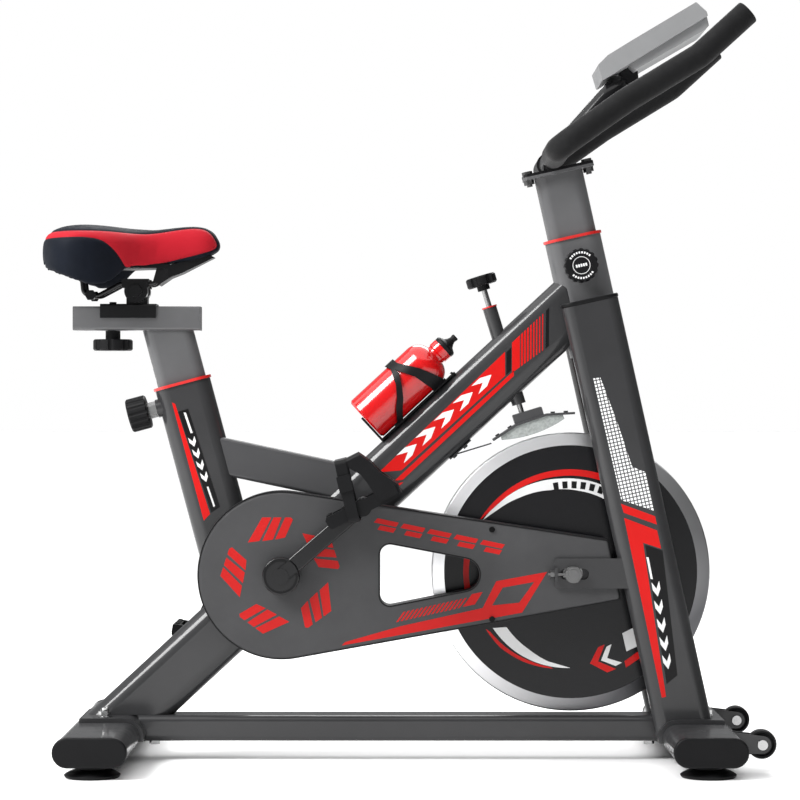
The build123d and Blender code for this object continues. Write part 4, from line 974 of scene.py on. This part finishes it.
ticks = [ring_part(16.6, 19.4, a, a + 7) for a in range(36, 140, 12)]
ticks += [ring_part(16.6, 19.4, a, a + 7) for a in range(216, 320, 12)]
film("knob_dial_film", ticks, [knob_face(KNOB_RIM)], "post_pin", film_white)
circle = [ring_part(11.6, 12.4, a, a + 90) for a in range(0, 360, 90)]
circle += [bar(-8 + 3.4 * i, -2, -5.6 + 3.4 * i, 2) for i in range(5)]
film("knob_circle_film", circle, [knob_face(KNOB_MIDDLE)], "post_pin", film_white)


# Figures on the console's screen
SCREEN_HEIGHT = 25.2
SEGMENT_GAP = 0.25
SEGMENTS = {
    "0": "abcdef", "1": "bc", "2": "abged", "3": "abgcd", "4": "fgbc", "5": "afgcd", "8": "abcdefg",
}


def screen_face(u, v, lift):
    return CONSOLE @ Vector((v * MM, -u * MM, (SCREEN_HEIGHT + lift) * MM))


def digit(text, x, y, wide, tall, thick):
    """Seven-segment figure as small bars, with its lower left corner at (x, y)."""
    half = tall / 2
    t = thick
    places = {
        "a": (t, tall - t, wide - t, tall), "g": (t, half - t / 2, wide - t, half + t / 2),
        "d": (t, 0, wide - t, t), "f": (0, half, t, tall), "b": (wide - t, half, wide, tall),
        "e": (0, 0, t, half), "c": (wide - t, 0, wide, half),
    }
    out = []
    for key in SEGMENTS[text]:
        x0, y0, x1, y1 = places[key]
        g = SEGMENT_GAP
        out.append(bar(x + x0 + g, y + y0 + g, x + x1 - g, y + y1 - g))
    return out


figures = []
for row, (text, tall) in enumerate((("1204", 18), ("0082", 13), ("0315", 13))):
    y = 131 - 24 * row
    for i, letter in enumerate(text):
        figures += digit(letter, -24 + 13 * i, y, tall * 0.5, tall, tall * 0.13)
film("console_figures", figures, [screen_face], "handlebar", film_black)


# Floor and light --------------------------------------------------------------

FLOOR = 40.0
SKY_LIGHT = 2.95
SKY_ANGLE = 100
ROOM_LEFT = 0.42
ROOM_RIGHT = 0.08

corners = [(-FLOOR, -FLOOR, 0), (FLOOR, -FLOOR, 0), (FLOOR, FLOOR, 0), (-FLOOR, FLOOR, 0)]
floor = mesh_piece("floor", corners, [(0, 1, 2, 3)])
pale = Paint("floor_pale", (0.95, 0.95, 0.95), 0.6)
pale.tone(0.01, 2)
floor.data.materials.append(pale.mat)

# The room's light fades from left to right. The camera sees plain white behind the object.
world = bpy.data.worlds.new("studio")
world.use_nodes = True
tree = world.node_tree
room = tree.nodes["Background"]
room.inputs["Color"].default_value = (0.98, 0.99, 1, 1)
place = tree.nodes.new("ShaderNodeTexCoord")
parts = tree.nodes.new("ShaderNodeSeparateXYZ")
fade = tree.nodes.new("ShaderNodeMapRange")
fade.inputs["From Min"].default_value = -1
fade.inputs["From Max"].default_value = 1
fade.inputs["To Min"].default_value = ROOM_LEFT
fade.inputs["To Max"].default_value = ROOM_RIGHT
tree.links.new(place.outputs["Generated"], parts.inputs["Vector"])
tree.links.new(parts.outputs["X"], fade.inputs["Value"])
tree.links.new(fade.outputs["Result"], room.inputs["Strength"])
backdrop = tree.nodes.new("ShaderNodeBackground")
backdrop.inputs["Color"].default_value = (1, 1, 1, 1)
seen = tree.nodes.new("ShaderNodeLightPath")
choice = tree.nodes.new("ShaderNodeMixShader")
tree.links.new(seen.outputs["Is Camera Ray"], choice.inputs["Fac"])
tree.links.new(room.outputs["Background"], choice.inputs[1])
tree.links.new(backdrop.outputs["Background"], choice.inputs[2])
tree.links.new(choice.outputs["Shader"], tree.nodes["World Output"].inputs["Surface"])
bpy.context.scene.world = world
bpy.context.scene.view_settings.view_transform = "Standard"


def softbox(name, place, aim, size, power):
    """Rectangular lamp at place, facing aim."""
    data = bpy.data.lights.new(name, "AREA")
    data.shape = "RECTANGLE"
    data.size, data.size_y = size
    data.energy = power
    lamp = bpy.data.objects.new(name, data)
    lamp.location = place
    towards = Vector(aim) - Vector(place)
    lamp.rotation_euler = towards.to_track_quat("-Z", "Y").to_euler()
    bpy.context.scene.collection.objects.link(lamp)


softbox("key", (-2.4, -1.5, 2.6), (0, 0, 0.5), (1.6, 1.6), 200)
softbox("back", (0.6, 2.6, 2.4), (0, 0, 0.6), (2.4, 1.2), 60)

sun = bpy.data.lights.new("sky", "SUN")
sun.energy = SKY_LIGHT
sun.angle = math.radians(SKY_ANGLE)
sky = bpy.data.objects.new("sky", sun)
bpy.context.scene.collection.objects.link(sky)
